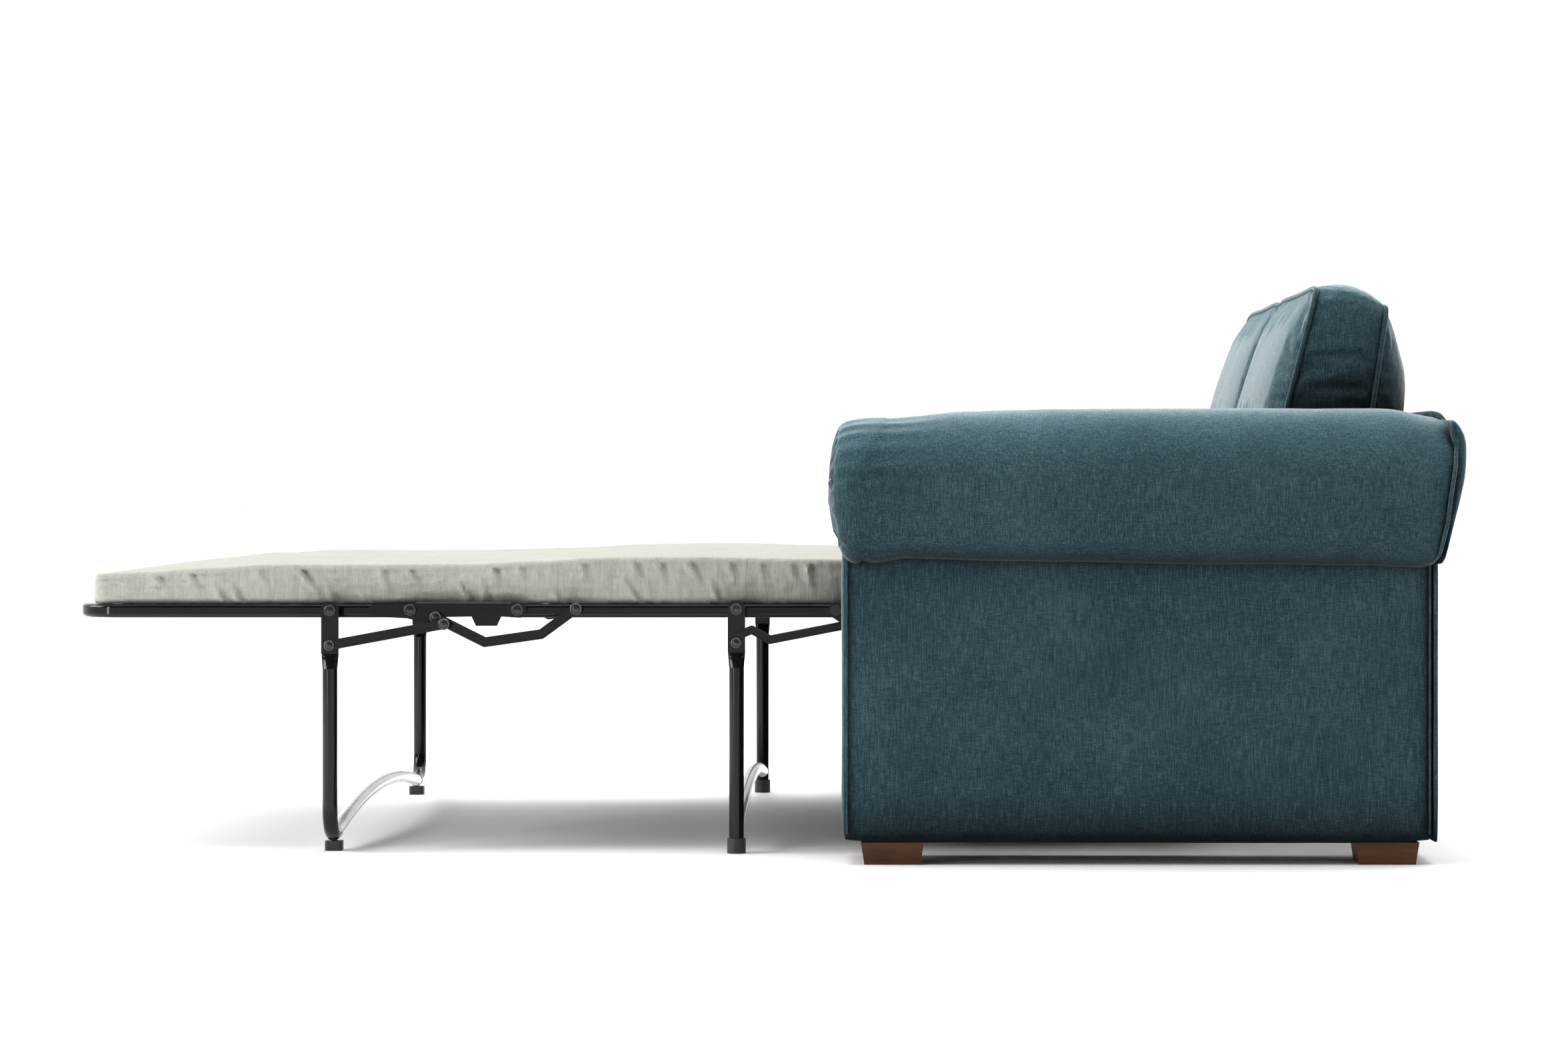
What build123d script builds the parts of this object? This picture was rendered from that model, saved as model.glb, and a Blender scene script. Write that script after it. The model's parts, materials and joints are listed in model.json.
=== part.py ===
from build123d import *
import math
import os

# Pull-out sofa bed with its three-section steel bed opened out.
# Millimetres, +Z up. The sofa faces -Y. "Station" f is the distance forward of
# the sofa's front line, so y = Y_FRONT - f. Side profiles are drawn as (f, z).

# ---- overall frame
FOOT_END_F = 1279.0
REAR_END_F = -932.0
Y_FRONT = (FOOT_END_F + REAR_END_F) / 2

# ---- sofa
INNER_FACE_X = 670.0
PANEL_OUT_X = 842.0
ROLL_OUT_X = 890.0
SCROLL_HALF = 872.0
BODY_FRONT_F = 35.0
BODY_REAR_F = -880.0
BODY_BOTTOM_Z = 35.0
ROLL_BOTTOM_Z = 463.0
ROLL_TOP_Z = 707.0
ROLL_FRONT_F = 55.0
ROLL_REAR_TOP_F = -908.0
SKIN_GAP = 0.4
BOARD_THICK = 36.0
FRONT_RAIL_THICK = 24.0
FRONT_RAIL_TOP_Z = 240.0
LEDGE_TOP_Z = 590.0
LEDGE_THICK = 18.0
LEDGE_FRONT_F = -590.0
CUSHION_TOP_Z = 915.0
CUSHION_GAP = 1.5
OUTER_BACK_GAP = 1.5      # air between the rear board and the outer back
OVERCUT = 1               # how far a hole cutter runs past each face
TRIM_OVER = 20            # how far a trimming block runs past what it trims
TRIM_REACH = 60           # depth of the block that trims the roll's rear end
OUTER_BACK_THICK = 8.5
ROLL_NOSE_R = 38.0
PANEL_EDGE_R = 14.0
FOOT_FRONT_F = 9.0
FOOT_REAR_F = -763.0
FOOT_BLOCK_WIDE = 100.0
FOOT_BLOCK_LONG = 98.0
FOOT_BLOCK_TAPER = 5.0

# ---- bed layout
RAIL_Z = 388.0
RAIL_SIZE = 22.0
RAIL_WALL = 1.5
DECK_REAR_INSET = 30
DECK_OPEN_INSET = 20
SPRING_END_CLEAR = 28
TUBE_REAR_INSET = 14
RAIL_CORNER = 6.0
RAIL_OUT_X = 599.0
BEND_RADIUS = 52.0
CROSS_TUBE = 16.0
MATTRESS_HALF = 595.0
MATTRESS_BOTTOM = 399.5
MATTRESS_THICK = 72.0
MATTRESS_FOOT_F = 1247.0
DECK_Z = 393.0
DECK_THICK = 2.0
DECK_HALF = 537.0
DECK_INSET = 50.0
TUBE_INSET = 34.0
HEM = 12.0
SPRING_R = 3.2
SPRING_STEP = 74.0

# ---- pivots, as (f, z)
PLATE_REAR = (565.0, 390.0)
PLATE_FRONT = (738.0, 390.0)
LINK_FRONT = (696.0, 378.0)
LINK_REAR = (470.0, 392.0)
LEG1_TOP = (864.0, 390.0)
LEG1_RIVET = (864.0, 334.0)
BRACE1_REAR = (680.0, 368.0)
LEG2_TOP = (211.0, 392.0)
LEG2_RIVET = (211.0, 338.0)
LIFT_FRONT = (51.0, 391.0)
BRACE2_REAR = (25.0, 371.0)
CRANK_ROOT = (-159.8, 275.0)
CRANK_END = (-250.4, 196.8)
HEAD_HINGE = (-40.0, 374.0)

# ---- layers across the side of the bed, inboard face and outboard face
BRACKET_X = (599.0, 603.0)
PLATE_X = (604.0, 608.0)
VLINK_X = (612.0, 616.0)
LEG_FLAT_X = (626.0, 634.0)
LEG_TUBE_X = 632.0
BRACE_X = (638.0, 641.0)
LIFT_X = (648.0, 653.0)
CRANK_X = (656.0, 661.0)
MOUNT_X = (664.5, 669.5)
LAYER_GAP = 0.3

# ---- pins and rivets
PIN_R = 5.0
PIN_HOLE_R = 5.3
HEAD_R = 9.0
HEAD_THICK = 2.7
RIVET_R = 4.0
RIVET_HOLE_R = 4.3
SPACER_R = 8.0
LOOSE_HOLE_R = PIN_R + 1.3
WIDE_COLLAR_R = SPACER_R + 3
WIDE_HEAD_R = HEAD_R + 1
BIG_HEAD_THICK = 2.2
CRANK_WIDTH = 28
CAP_HALF = 13             # half width of a foot cap across the bed
CAP_HALF_F = 14           # and along it

# ---- leg hoops
LEG_TUBE_R = 12.0
LEG_TUBE_WALL = 1.5
FLAT_HALF = 14.0
FLAT_LOW = 70.0
FLAT_END = 94.0
HOOP_BEND_R = 46.0
HOOP_LOW_Z = 28.0
HOOP_END_X = 568.0
BAR_R = 11.0
BAR_BOW = 36.0
BAR2_Z = 41.0
CAP_R = 15.0
CAP_TALL = 24.0


def at_yz(f, z):
    return (Y_FRONT - f, z)


def point(x, f, z):
    return Vector(x, Y_FRONT - f, z)


def both(shape):
    return [shape, mirror(shape, about=Plane.YZ)]


def block(x0, x1, f0, f1, z0, z1):
    size = (x1 - x0, f1 - f0, z1 - z0)
    centre = point((x0 + x1) / 2, (f0 + f1) / 2, (z0 + z1) / 2)
    return Pos(*centre) * Box(*size)


def side_prism(profile, x0, x1, round_r=0.0):
    outline = Polyline(*[at_yz(f, z) for f, z in profile], close=True)
    sketch = make_face(outline)
    if round_r:
        sketch = fillet(sketch.vertices(), round_r)
    return extrude(Plane.YZ.offset(x0) * sketch, amount=x1 - x0)


def pin(centre, x0, x1, radius):
    base = Plane(origin=point(x0, *centre), z_dir=(1, 0, 0))
    return extrude(base * Circle(radius), amount=x1 - x0)


def strap(points, width, layer, holes=()):
    """A flat bar of constant width through the given pivots, rounded at each."""
    sketch = None
    for spot in points:
        disc = Pos(*at_yz(*spot)) * Circle(width / 2)
        sketch = disc if sketch is None else sketch + disc
    for a, b in zip(points, points[1:]):
        (ya, za), (yb, zb) = at_yz(*a), at_yz(*b)
        length = math.hypot(yb - ya, zb - za)
        angle = math.degrees(math.atan2(zb - za, yb - ya))
        middle = Pos((ya + yb) / 2, (za + zb) / 2) * Rot(0, 0, angle)
        sketch = sketch + middle * Rectangle(length, width)
    for spot, radius in holes:
        sketch = sketch - Pos(*at_yz(*spot)) * Circle(radius)
    return extrude(Plane.YZ.offset(layer[0]) * sketch, amount=layer[1] - layer[0])


def hollow_section():
    outer = RectangleRounded(RAIL_SIZE, RAIL_SIZE, RAIL_CORNER)
    bore = RAIL_SIZE - 2 * RAIL_WALL
    return outer - RectangleRounded(bore, bore, RAIL_CORNER - RAIL_WALL)


def rail_run(path):
    start = Plane(origin=path @ 0, x_dir=(0, 0, 1), z_dir=path % 0)
    return sweep(start * hollow_section(), path=path)


def u_frame(open_f, closed_f):
    """Side rails and rounded end of a bed section, as one bent tube."""
    x = RAIL_OUT_X - RAIL_SIZE / 2
    end = closed_f
    corners = [point(x, open_f, RAIL_Z), point(x, end, RAIL_Z),
               point(-x, end, RAIL_Z), point(-x, open_f, RAIL_Z)]
    return rail_run(FilletPolyline(*corners, radius=BEND_RADIUS))


def straight_rail(f0, f1):
    x = RAIL_OUT_X - RAIL_SIZE / 2
    return rail_run(Line(point(x, f0, RAIL_Z), point(x, f1, RAIL_Z)))


def cross_tube(f):
    half = RAIL_OUT_X - RAIL_SIZE
    return block(-half, half, f - CROSS_TUBE / 2, f + CROSS_TUBE / 2,
                 RAIL_Z - CROSS_TUBE / 2 + 1, RAIL_Z + CROSS_TUBE / 2 + 1)


def deck(f0, f1):
    return block(-DECK_HALF, DECK_HALF, f0, f1, DECK_Z, DECK_Z + DECK_THICK)


def deck_springs(f0, f1):
    """Tension springs from the deck cloth's hem out to the side rails."""
    count = int((f1 - f0) // SPRING_STEP)
    first = (f0 + f1 - (count - 1) * SPRING_STEP) / 2
    inner = RAIL_OUT_X - RAIL_SIZE - LAYER_GAP
    found = []
    for k in range(count):
        spot = (first + k * SPRING_STEP, DECK_Z - SPRING_R - LAYER_GAP)
        found += both(pin(spot, DECK_HALF - HEM, inner, SPRING_R))
    return Compound(found)


def stud(centre, base_x, layer):
    """Spacer from base_x to the layer, shank through it, and a formed head."""
    seat = layer[0] - LAYER_GAP
    head = layer[1] + LAYER_GAP
    body = pin(centre, base_x, head, PIN_R)
    if seat - base_x > 2:
        body = body + pin(centre, base_x, seat, SPACER_R)
    return body + pin(centre, head, head + HEAD_THICK, HEAD_R)


# ---------------------------------------------------------------- sofa
def roll_outline(grow=0.0):
    middle_x = (INNER_FACE_X + ROLL_OUT_X) / 2
    middle_z = (ROLL_BOTTOM_Z + ROLL_TOP_Z) / 2
    half_x = (ROLL_OUT_X - INNER_FACE_X) / 2 - 1
    half_z = (ROLL_TOP_Z - ROLL_BOTTOM_Z) / 2
    return Pos(middle_x + 1, middle_z) * Ellipse(half_x + grow, half_z + grow)


def across(front_f):
    return Plane(origin=point(0, front_f, 0), x_dir=(1, 0, 0), z_dir=(0, -1, 0))


def rolled_arm(grow=0.0):
    """Scroll of the arm, its rear end cut on the lean of the back."""
    rear_f = ROLL_REAR_TOP_F - 10
    solid = extrude(across(rear_f) * roll_outline(grow), amount=ROLL_FRONT_F - rear_f)
    lean = [(BODY_REAR_F - grow, ROLL_BOTTOM_Z - TRIM_OVER), (ROLL_REAR_TOP_F - grow, ROLL_TOP_Z + TRIM_OVER),
            (rear_f - TRIM_REACH, ROLL_TOP_Z + TRIM_OVER), (rear_f - TRIM_REACH, ROLL_BOTTOM_Z - TRIM_OVER)]
    return solid - side_prism(lean, INNER_FACE_X - TRIM_OVER, ROLL_OUT_X + TRIM_OVER)


def arm_roll():
    solid = rolled_arm()
    front = solid.faces().sort_by(Axis.Y)[0]
    return fillet(front.edges(), ROLL_NOSE_R)


def arm_panel():
    middle_z = (ROLL_BOTTOM_Z + ROLL_TOP_Z) / 2
    panel = block(INNER_FACE_X, PANEL_OUT_X, BODY_REAR_F, BODY_FRONT_F,
                  BODY_BOTTOM_Z, middle_z)
    long = ROLL_FRONT_F - BODY_REAR_F + 2 * TRIM_OVER
    cutter = extrude(across(BODY_REAR_F - TRIM_OVER) * roll_outline(SKIN_GAP), amount=long)
    solid = panel - cutter
    upright = solid.edges().filter_by(Axis.Z).group_by(Axis.Y)[0].sort_by(Axis.X)[-1]
    return fillet(upright, PANEL_EDGE_R)


def rear_board():
    front_f = BODY_REAR_F + BOARD_THICK - 1
    return block(-INNER_FACE_X + SKIN_GAP, INNER_FACE_X - SKIN_GAP,
                 front_f - BOARD_THICK, front_f, 40, 600)


def outer_back():
    front_f = BODY_REAR_F - OUTER_BACK_GAP
    return block(-PANEL_OUT_X, PANEL_OUT_X, front_f - OUTER_BACK_THICK, front_f,
                 BODY_BOTTOM_Z, ROLL_BOTTOM_Z - 2)


def back_scroll():
    """Rounded roll along the top of the outer back."""
    profile = [(-882, 464), (-882, 602), (-866, 608), (-863, 680), (-873, 701), (-888, 708),
               (-903, 711), (-917, 708), (-927, 697), (-931, 678), (REAR_END_F, 650),
               (REAR_END_F, 630), (-928, 596), (-915, 550), (-901, 502), (-890, 464)]
    solid = side_prism(profile, -SCROLL_HALF, SCROLL_HALF)
    for arm in both(rolled_arm(SKIN_GAP)):
        solid = solid - arm
    return solid


def front_rail():
    rear_f = BODY_FRONT_F + 1 - FRONT_RAIL_THICK
    return block(-INNER_FACE_X + SKIN_GAP, INNER_FACE_X - SKIN_GAP,
                 rear_f, BODY_FRONT_F + 1, 45, FRONT_RAIL_TOP_Z)


def cushion_ledge():
    rear_f = BODY_REAR_F + BOARD_THICK - 1 + SKIN_GAP
    return block(-INNER_FACE_X + SKIN_GAP, INNER_FACE_X - SKIN_GAP,
                 rear_f, LEDGE_FRONT_F, LEDGE_TOP_Z - LEDGE_THICK, LEDGE_TOP_Z)


def back_cushion():
    """Boxed back cushion: crowned front and rear, leaning back."""
    profile = [(-594, 591), (-600, 660), (-611, 728), (-628, 771), (-648, 814),
               (-670, 857), (-693, 889), (-719, CUSHION_TOP_Z), (-762, 913), (-822, 893),
               (-848, 857), (-863, 814), (-870, 771), (-866, 735), (-856, 712), (-850, 680),
               (-843, 640), (-839, 591)]
    return side_prism(profile, CUSHION_GAP, INNER_FACE_X - 2.5)


def foot_block(front_top_f):
    outer_x = PANEL_OUT_X - 6
    centre_f = front_top_f - FOOT_BLOCK_LONG / 2
    centre_x = outer_x - FOOT_BLOCK_WIDE / 2
    top = Plane(origin=point(centre_x, centre_f, BODY_BOTTOM_Z))
    floor = Plane(origin=point(centre_x, centre_f, 0))
    shrink = 2 * FOOT_BLOCK_TAPER
    faces = [floor * Rectangle(FOOT_BLOCK_WIDE - shrink, FOOT_BLOCK_LONG - shrink),
             top * Rectangle(FOOT_BLOCK_WIDE, FOOT_BLOCK_LONG)]
    return loft(faces)


MOUNT_BOLTS = [(-236, 324), (-84, 324), (-236, 226), (-84, 226)]


def mechanism_bracket():
    """Plate screwed to the inside of the arm, with the crank's pivot stud."""
    profile = [(-252, 210), (-68, 210), (-68, 300), (-100, 340), (-220, 340), (-252, 300)]
    plate = side_prism(profile, *MOUNT_X, round_r=10)
    for spot in MOUNT_BOLTS:
        plate = plate - pin(spot, MOUNT_X[0] - OVERCUT, MOUNT_X[1] + OVERCUT, RIVET_HOLE_R)
    head = CRANK_X[0] - LAYER_GAP
    shank = pin(CRANK_ROOT, head, MOUNT_X[0], PIN_R + 1)
    collar = pin(CRANK_ROOT, CRANK_X[1] + LAYER_GAP, MOUNT_X[0], WIDE_COLLAR_R)
    return plate + shank + collar + pin(CRANK_ROOT, head - BIG_HEAD_THICK, head, WIDE_HEAD_R)


def bracket_bolts():
    found = []
    for spot in MOUNT_BOLTS:
        shank = pin(spot, MOUNT_X[0], MOUNT_X[1], RIVET_R)
        base = Plane(origin=point(MOUNT_X[0] - 2.8, *spot), z_dir=(1, 0, 0))
        hexagon = extrude(base * RegularPolygon(7.5, 6), amount=2.8)
        found += both(shank + hexagon)
    return Compound(found)


# ---------------------------------------------------------------- lift linkage
def crank():
    bar = strap([CRANK_ROOT, CRANK_END], CRANK_WIDTH, CRANK_X, [(CRANK_ROOT, LOOSE_HOLE_R)])
    inner = LIFT_X[0] - LAYER_GAP
    shank = pin(CRANK_END, inner, CRANK_X[0], PIN_R + 1)
    collar = pin(CRANK_END, LIFT_X[1] + LAYER_GAP, CRANK_X[0], WIDE_COLLAR_R)
    return bar + shank + collar + pin(CRANK_END, inner - HEAD_THICK, inner, WIDE_HEAD_R)


def lift_arm():
    holes = [(CRANK_END, LOOSE_HOLE_R), (LIFT_FRONT, PIN_HOLE_R)]
    bar = strap([CRANK_END, LIFT_FRONT], 26, LIFT_X, holes)
    return bar + pin(BRACE2_REAR, BRACE_X[1] + LAYER_GAP, LIFT_X[0], PIN_R)


# ---------------------------------------------------------------- middle section
MIDDLE_REAR_F = HEAD_HINGE[0] + 5
MIDDLE_FRONT_F = PLATE_REAR[0] + 12


def middle_rail():
    rail = straight_rail(MIDDLE_REAR_F, MIDDLE_FRONT_F)
    f, z = HEAD_HINGE
    ear = side_prism([(f - 13, z - 8), (f - 5, z - 13), (f + 8, z - 13), (f + 26, z + 6),
                      (f + 60, z + 12), (f + 60, z + 22), (f - 2, z + 22), (f - 13, z + 8)],
                     *BRACKET_X)
    return rail + ear


def middle_pins():
    found = []
    base = RAIL_OUT_X
    for centre, layer in ((PLATE_REAR, PLATE_X), (LINK_REAR, VLINK_X),
                          (LEG2_TOP, LEG_FLAT_X), (LIFT_FRONT, LIFT_X)):
        found += both(stud(centre, base, layer))
    found += both(stud(HEAD_HINGE, BRACKET_X[1], PLATE_X))
    return Compound(found)


def mattress_piece(f_low0, f_low1, f_top0, f_top1):
    top = MATTRESS_BOTTOM + MATTRESS_THICK
    profile = [(f_low0, MATTRESS_BOTTOM), (f_low1, MATTRESS_BOTTOM), (f_top1, top), (f_top0, top)]
    return side_prism(profile, -MATTRESS_HALF, MATTRESS_HALF)


MITRE_LOW = MATTRESS_BOTTOM - PLATE_REAR[1] + 1
MITRE_TOP = MITRE_LOW + MATTRESS_THICK


def mattress_middle():
    rear = HEAD_HINGE[0] + 1
    front = PLATE_REAR[0]
    return mattress_piece(rear, front - MITRE_LOW, rear, front - MITRE_TOP)


def mattress_bend():
    rear = PLATE_REAR[0]
    front = PLATE_FRONT[0]
    return mattress_piece(rear + MITRE_LOW, front - MITRE_LOW, rear + MITRE_TOP, front - MITRE_TOP)


def mattress_foot():
    rear = PLATE_FRONT[0]
    piece = mattress_piece(rear + MITRE_LOW, MATTRESS_FOOT_F, rear + MITRE_TOP, MATTRESS_FOOT_F)
    front = piece.faces().sort_by(Axis.Y)[0]
    return fillet(front.edges().filter_by(Axis.X).sort_by(Axis.Z)[-1], 26)


# ---------------------------------------------------------------- hinge plates
def hinge_plate():
    """Long plate between the middle and foot sections, flanged along its top."""
    profile = [(551, 396), (551, 383), (560, 377), (591, 379), (598, 364), (632, 364),
               (639, 379), (744, 377), (752, 384), (752, 396), (747, 400), (556, 400)]
    plate = side_prism(profile, *PLATE_X)
    flange = block(PLATE_X[0], PLATE_X[1] + 3, 572, 731, 399, 402)
    solid = plate + flange
    for centre in (PLATE_REAR, PLATE_FRONT):
        solid = solid - pin(centre, PLATE_X[0] - OVERCUT, PLATE_X[1] + OVERCUT, PIN_HOLE_R)
    return solid


# ---------------------------------------------------------------- foot section
FOOT_OPEN_F = PLATE_FRONT[0] - 12


def foot_frame():
    return u_frame(FOOT_OPEN_F, FOOT_END_F - RAIL_SIZE / 2)


def foot_bracket():
    profile = [(684, 372), (688, 385), (724, 401), (800, 398), (812, 388), (800, 379),
               (744, 376), (702, 366), (690, 366)]
    return side_prism(profile, *BRACKET_X)


def foot_pins():
    found = both(stud(PLATE_FRONT, BRACKET_X[1], PLATE_X))
    found += both(stud(LEG1_TOP, RAIL_OUT_X, LEG_FLAT_X))
    return Compound(found)


# ---------------------------------------------------------------- links and braces
def v_link():
    route = [LINK_FRONT, (669, 364), (617, 338), (526, 351), LINK_REAR]
    bar = strap(route, 16, VLINK_X, [(LINK_REAR, PIN_HOLE_R)])
    rivet = pin(LINK_FRONT, VLINK_X[1], VLINK_X[1] + HEAD_THICK, HEAD_R)
    reach = pin(BRACE1_REAR, VLINK_X[1], BRACE_X[0] - LAYER_GAP, PIN_R)
    return bar + rivet + reach


def brace_1():
    return strap([LEG1_RIVET, BRACE1_REAR], 16, BRACE_X, [(LEG1_RIVET, RIVET_HOLE_R)])


def brace_2():
    route = [LEG2_RIVET, (201, 353), (186, 359), (171, 351), (157, 343), (44, 365), BRACE2_REAR]
    return strap(route, 14, BRACE_X, [(LEG2_RIVET, RIVET_HOLE_R)])


# ---------------------------------------------------------------- leg hoops
def leg_top(pivot, rivet):
    """Flattened head of a leg tube with its brace rivet, down to the round tube."""
    f, z = pivot
    low = z - FLAT_LOW
    profile = [(f - FLAT_HALF, low), (f + FLAT_HALF, low), (f + FLAT_HALF, z + 4),
               (f + 8, z + FLAT_HALF), (f - 8, z + FLAT_HALF), (f - FLAT_HALF, z + 4)]
    flat = side_prism(profile, *LEG_FLAT_X)
    middle_x = sum(LEG_FLAT_X) / 2
    wide = Plane(origin=point(middle_x, f, low))
    narrow = Plane(origin=point(LEG_TUBE_X, f, z - FLAT_END))
    neck = loft([wide * RectangleRounded(LEG_FLAT_X[1] - LEG_FLAT_X[0], 2 * FLAT_HALF, 3.9),
                 narrow * Circle(LEG_TUBE_R)])
    solid = flat + neck - pin(pivot, LEG_FLAT_X[0] - OVERCUT, LEG_FLAT_X[1] + OVERCUT, PIN_HOLE_R)
    head = BRACE_X[1] + LAYER_GAP
    shank = pin(rivet, LEG_FLAT_X[1] - OVERCUT, head, RIVET_R)
    boss = pin(rivet, LEG_FLAT_X[1] - OVERCUT, BRACE_X[0] - LAYER_GAP, RIVET_R + 2.5)
    return solid + shank + boss + pin(rivet, head, head + HEAD_THICK, RIVET_R + 4)


def ring():
    return Circle(LEG_TUBE_R) - Circle(LEG_TUBE_R - LEG_TUBE_WALL)


def leg_1_tube():
    f, z = LEG1_TOP
    corner = point(LEG_TUBE_X, f, HOOP_LOW_Z)
    path = FilletPolyline(point(LEG_TUBE_X, f, z - FLAT_END), corner,
                          point(HOOP_END_X, f, HOOP_LOW_Z), radius=HOOP_BEND_R)
    tube = sweep(Plane(origin=path @ 0, z_dir=path % 0) * ring(), path=path)
    plug = pin((f, HOOP_LOW_Z), HOOP_END_X, HOOP_END_X + 4, LEG_TUBE_R)
    return leg_top(LEG1_TOP, LEG1_RIVET) + tube + plug


def leg_2_tube():
    f, z = LEG2_TOP
    base = Plane(origin=point(LEG_TUBE_X, f, CAP_TALL))
    tube = extrude(base * ring(), amount=z - FLAT_END - CAP_TALL)
    return leg_top(LEG2_TOP, LEG2_RIVET) + tube


def crossbar(f, z, half):
    """Bar between the two legs, bowed upwards in the middle."""
    arc = ThreePointArc(point(-half, f, z), point(0, f, z + BAR_BOW), point(half, f, z))
    bar = sweep(Plane(origin=arc @ 0, z_dir=arc % 0) * Circle(BAR_R), path=arc)
    keep = block(-half + 1, half - 1, f - 30, f + 30, z - 30, z + BAR_BOW + 30)
    return bar & keep


def leg_1_caps():
    f = LEG1_TOP[0]
    x = HOOP_END_X + CAP_HALF
    top = HOOP_LOW_Z - LEG_TUBE_R - SKIN_GAP
    cap = block(x - CAP_HALF, x + CAP_HALF, f - CAP_HALF_F, f + CAP_HALF_F, 0, top)
    return Compound(both(fillet(cap.edges().filter_by(Axis.Z), 5)))


def leg_2_caps():
    f = LEG2_TOP[0]
    base = Plane(origin=point(LEG_TUBE_X, f, 0))
    cap = extrude(base * Circle(CAP_R), amount=CAP_TALL)
    return Compound(both(cap))


# ---------------------------------------------------------------- head section
HEAD_OPEN_F = HEAD_HINGE[0] - 5
HEAD_END_F = -553.0


def head_frame():
    """Bent tube with hinge ears that reach forward past its own hinge line."""
    frame = u_frame(HEAD_OPEN_F, HEAD_END_F + RAIL_SIZE / 2)
    f, z = HEAD_HINGE
    arm = side_prism([(f + 9, z - 6), (f + 4, z - 11), (f - 8, z - 11), (f - 62, z + 6),
                      (f - 62, z + 22), (f - 34, z + 22), (f + 6, z + 9), (f + 9, z + 5)],
                     *PLATE_X)
    arm = arm - pin(HEAD_HINGE, PLATE_X[0] - OVERCUT, PLATE_X[1] + OVERCUT, PIN_HOLE_R)
    spacer = block(RAIL_OUT_X, PLATE_X[0], f - 60, f - 38, z + 6, z + 22)
    ears = both(arm + spacer)
    return frame + ears[0] + ears[1]


def mattress_head():
    rear = HEAD_END_F + 4
    front = HEAD_HINGE[0] - 1
    return mattress_piece(rear, front, rear, front)


def save(name, shape):
    export_step(shape, f"parts/{name}.step")


def save_pair(name, shape):
    right, left = both(shape)
    save(f"{name}_right", right)
    save(f"{name}_left", left)


def main():
    os.makedirs("parts", exist_ok=True)
    save_pair("arm_panel", arm_panel())
    save_pair("arm_roll", arm_roll())
    save("rear_board", rear_board())
    save("outer_back", outer_back())
    save("back_scroll", back_scroll())
    save("front_rail", front_rail())
    save("cushion_ledge", cushion_ledge())
    save_pair("back_cushion", back_cushion())
    save_pair("foot_block_front", foot_block(FOOT_FRONT_F))
    save_pair("foot_block_rear", foot_block(FOOT_REAR_F))
    save_pair("mechanism_bracket", mechanism_bracket())
    save("bracket_bolts", bracket_bolts())

    save_pair("crank", crank())
    save_pair("lift_arm", lift_arm())

    save_pair("middle_rail", middle_rail())
    save("middle_tube_rear", cross_tube(MIDDLE_REAR_F + TUBE_REAR_INSET))
    save("middle_tube_front", cross_tube(MIDDLE_FRONT_F - TUBE_INSET))
    save("middle_deck", deck(MIDDLE_REAR_F + DECK_REAR_INSET, MIDDLE_FRONT_F - DECK_INSET))
    save("middle_springs", deck_springs(MIDDLE_REAR_F + DECK_REAR_INSET, MIDDLE_FRONT_F - DECK_INSET))
    save("middle_pins", middle_pins())
    save("mattress_middle", mattress_middle())

    save_pair("hinge_plate", hinge_plate())
    save("mattress_bend", mattress_bend())

    save("foot_frame", foot_frame())
    save("foot_tube", cross_tube(FOOT_OPEN_F + TUBE_INSET))
    save("foot_deck", deck(FOOT_OPEN_F + DECK_INSET, FOOT_END_F - DECK_INSET))
    save("foot_springs", deck_springs(FOOT_OPEN_F + DECK_INSET, FOOT_END_F - BEND_RADIUS - SPRING_END_CLEAR))
    save_pair("foot_bracket", foot_bracket())
    save("foot_pins", foot_pins())
    save("mattress_foot", mattress_foot())

    save_pair("v_link", v_link())
    save_pair("brace_1", brace_1())
    save_pair("brace_2", brace_2())

    save_pair("leg_1_tube", leg_1_tube())
    save("leg_1_crossbar", crossbar(LEG1_TOP[0], HOOP_LOW_Z, HOOP_END_X))
    save("leg_1_caps", leg_1_caps())
    save_pair("leg_2_tube", leg_2_tube())
    save("leg_2_crossbar", crossbar(LEG2_TOP[0], BAR2_Z, LEG_TUBE_X - LEG_TUBE_R))
    save("leg_2_caps", leg_2_caps())

    save("head_frame", head_frame())
    save("head_deck", deck(HEAD_END_F + DECK_INSET, HEAD_OPEN_F - DECK_OPEN_INSET))
    rear = HEAD_END_F + BEND_RADIUS + SPRING_END_CLEAR
    save("head_springs", deck_springs(rear, HEAD_OPEN_F - DECK_OPEN_INSET))
    save("mattress_head", mattress_head())


main()
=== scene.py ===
import json
import math

import bmesh
import bpy
from mathutils import Matrix, Vector, noise
from mathutils.kdtree import KDTree


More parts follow.
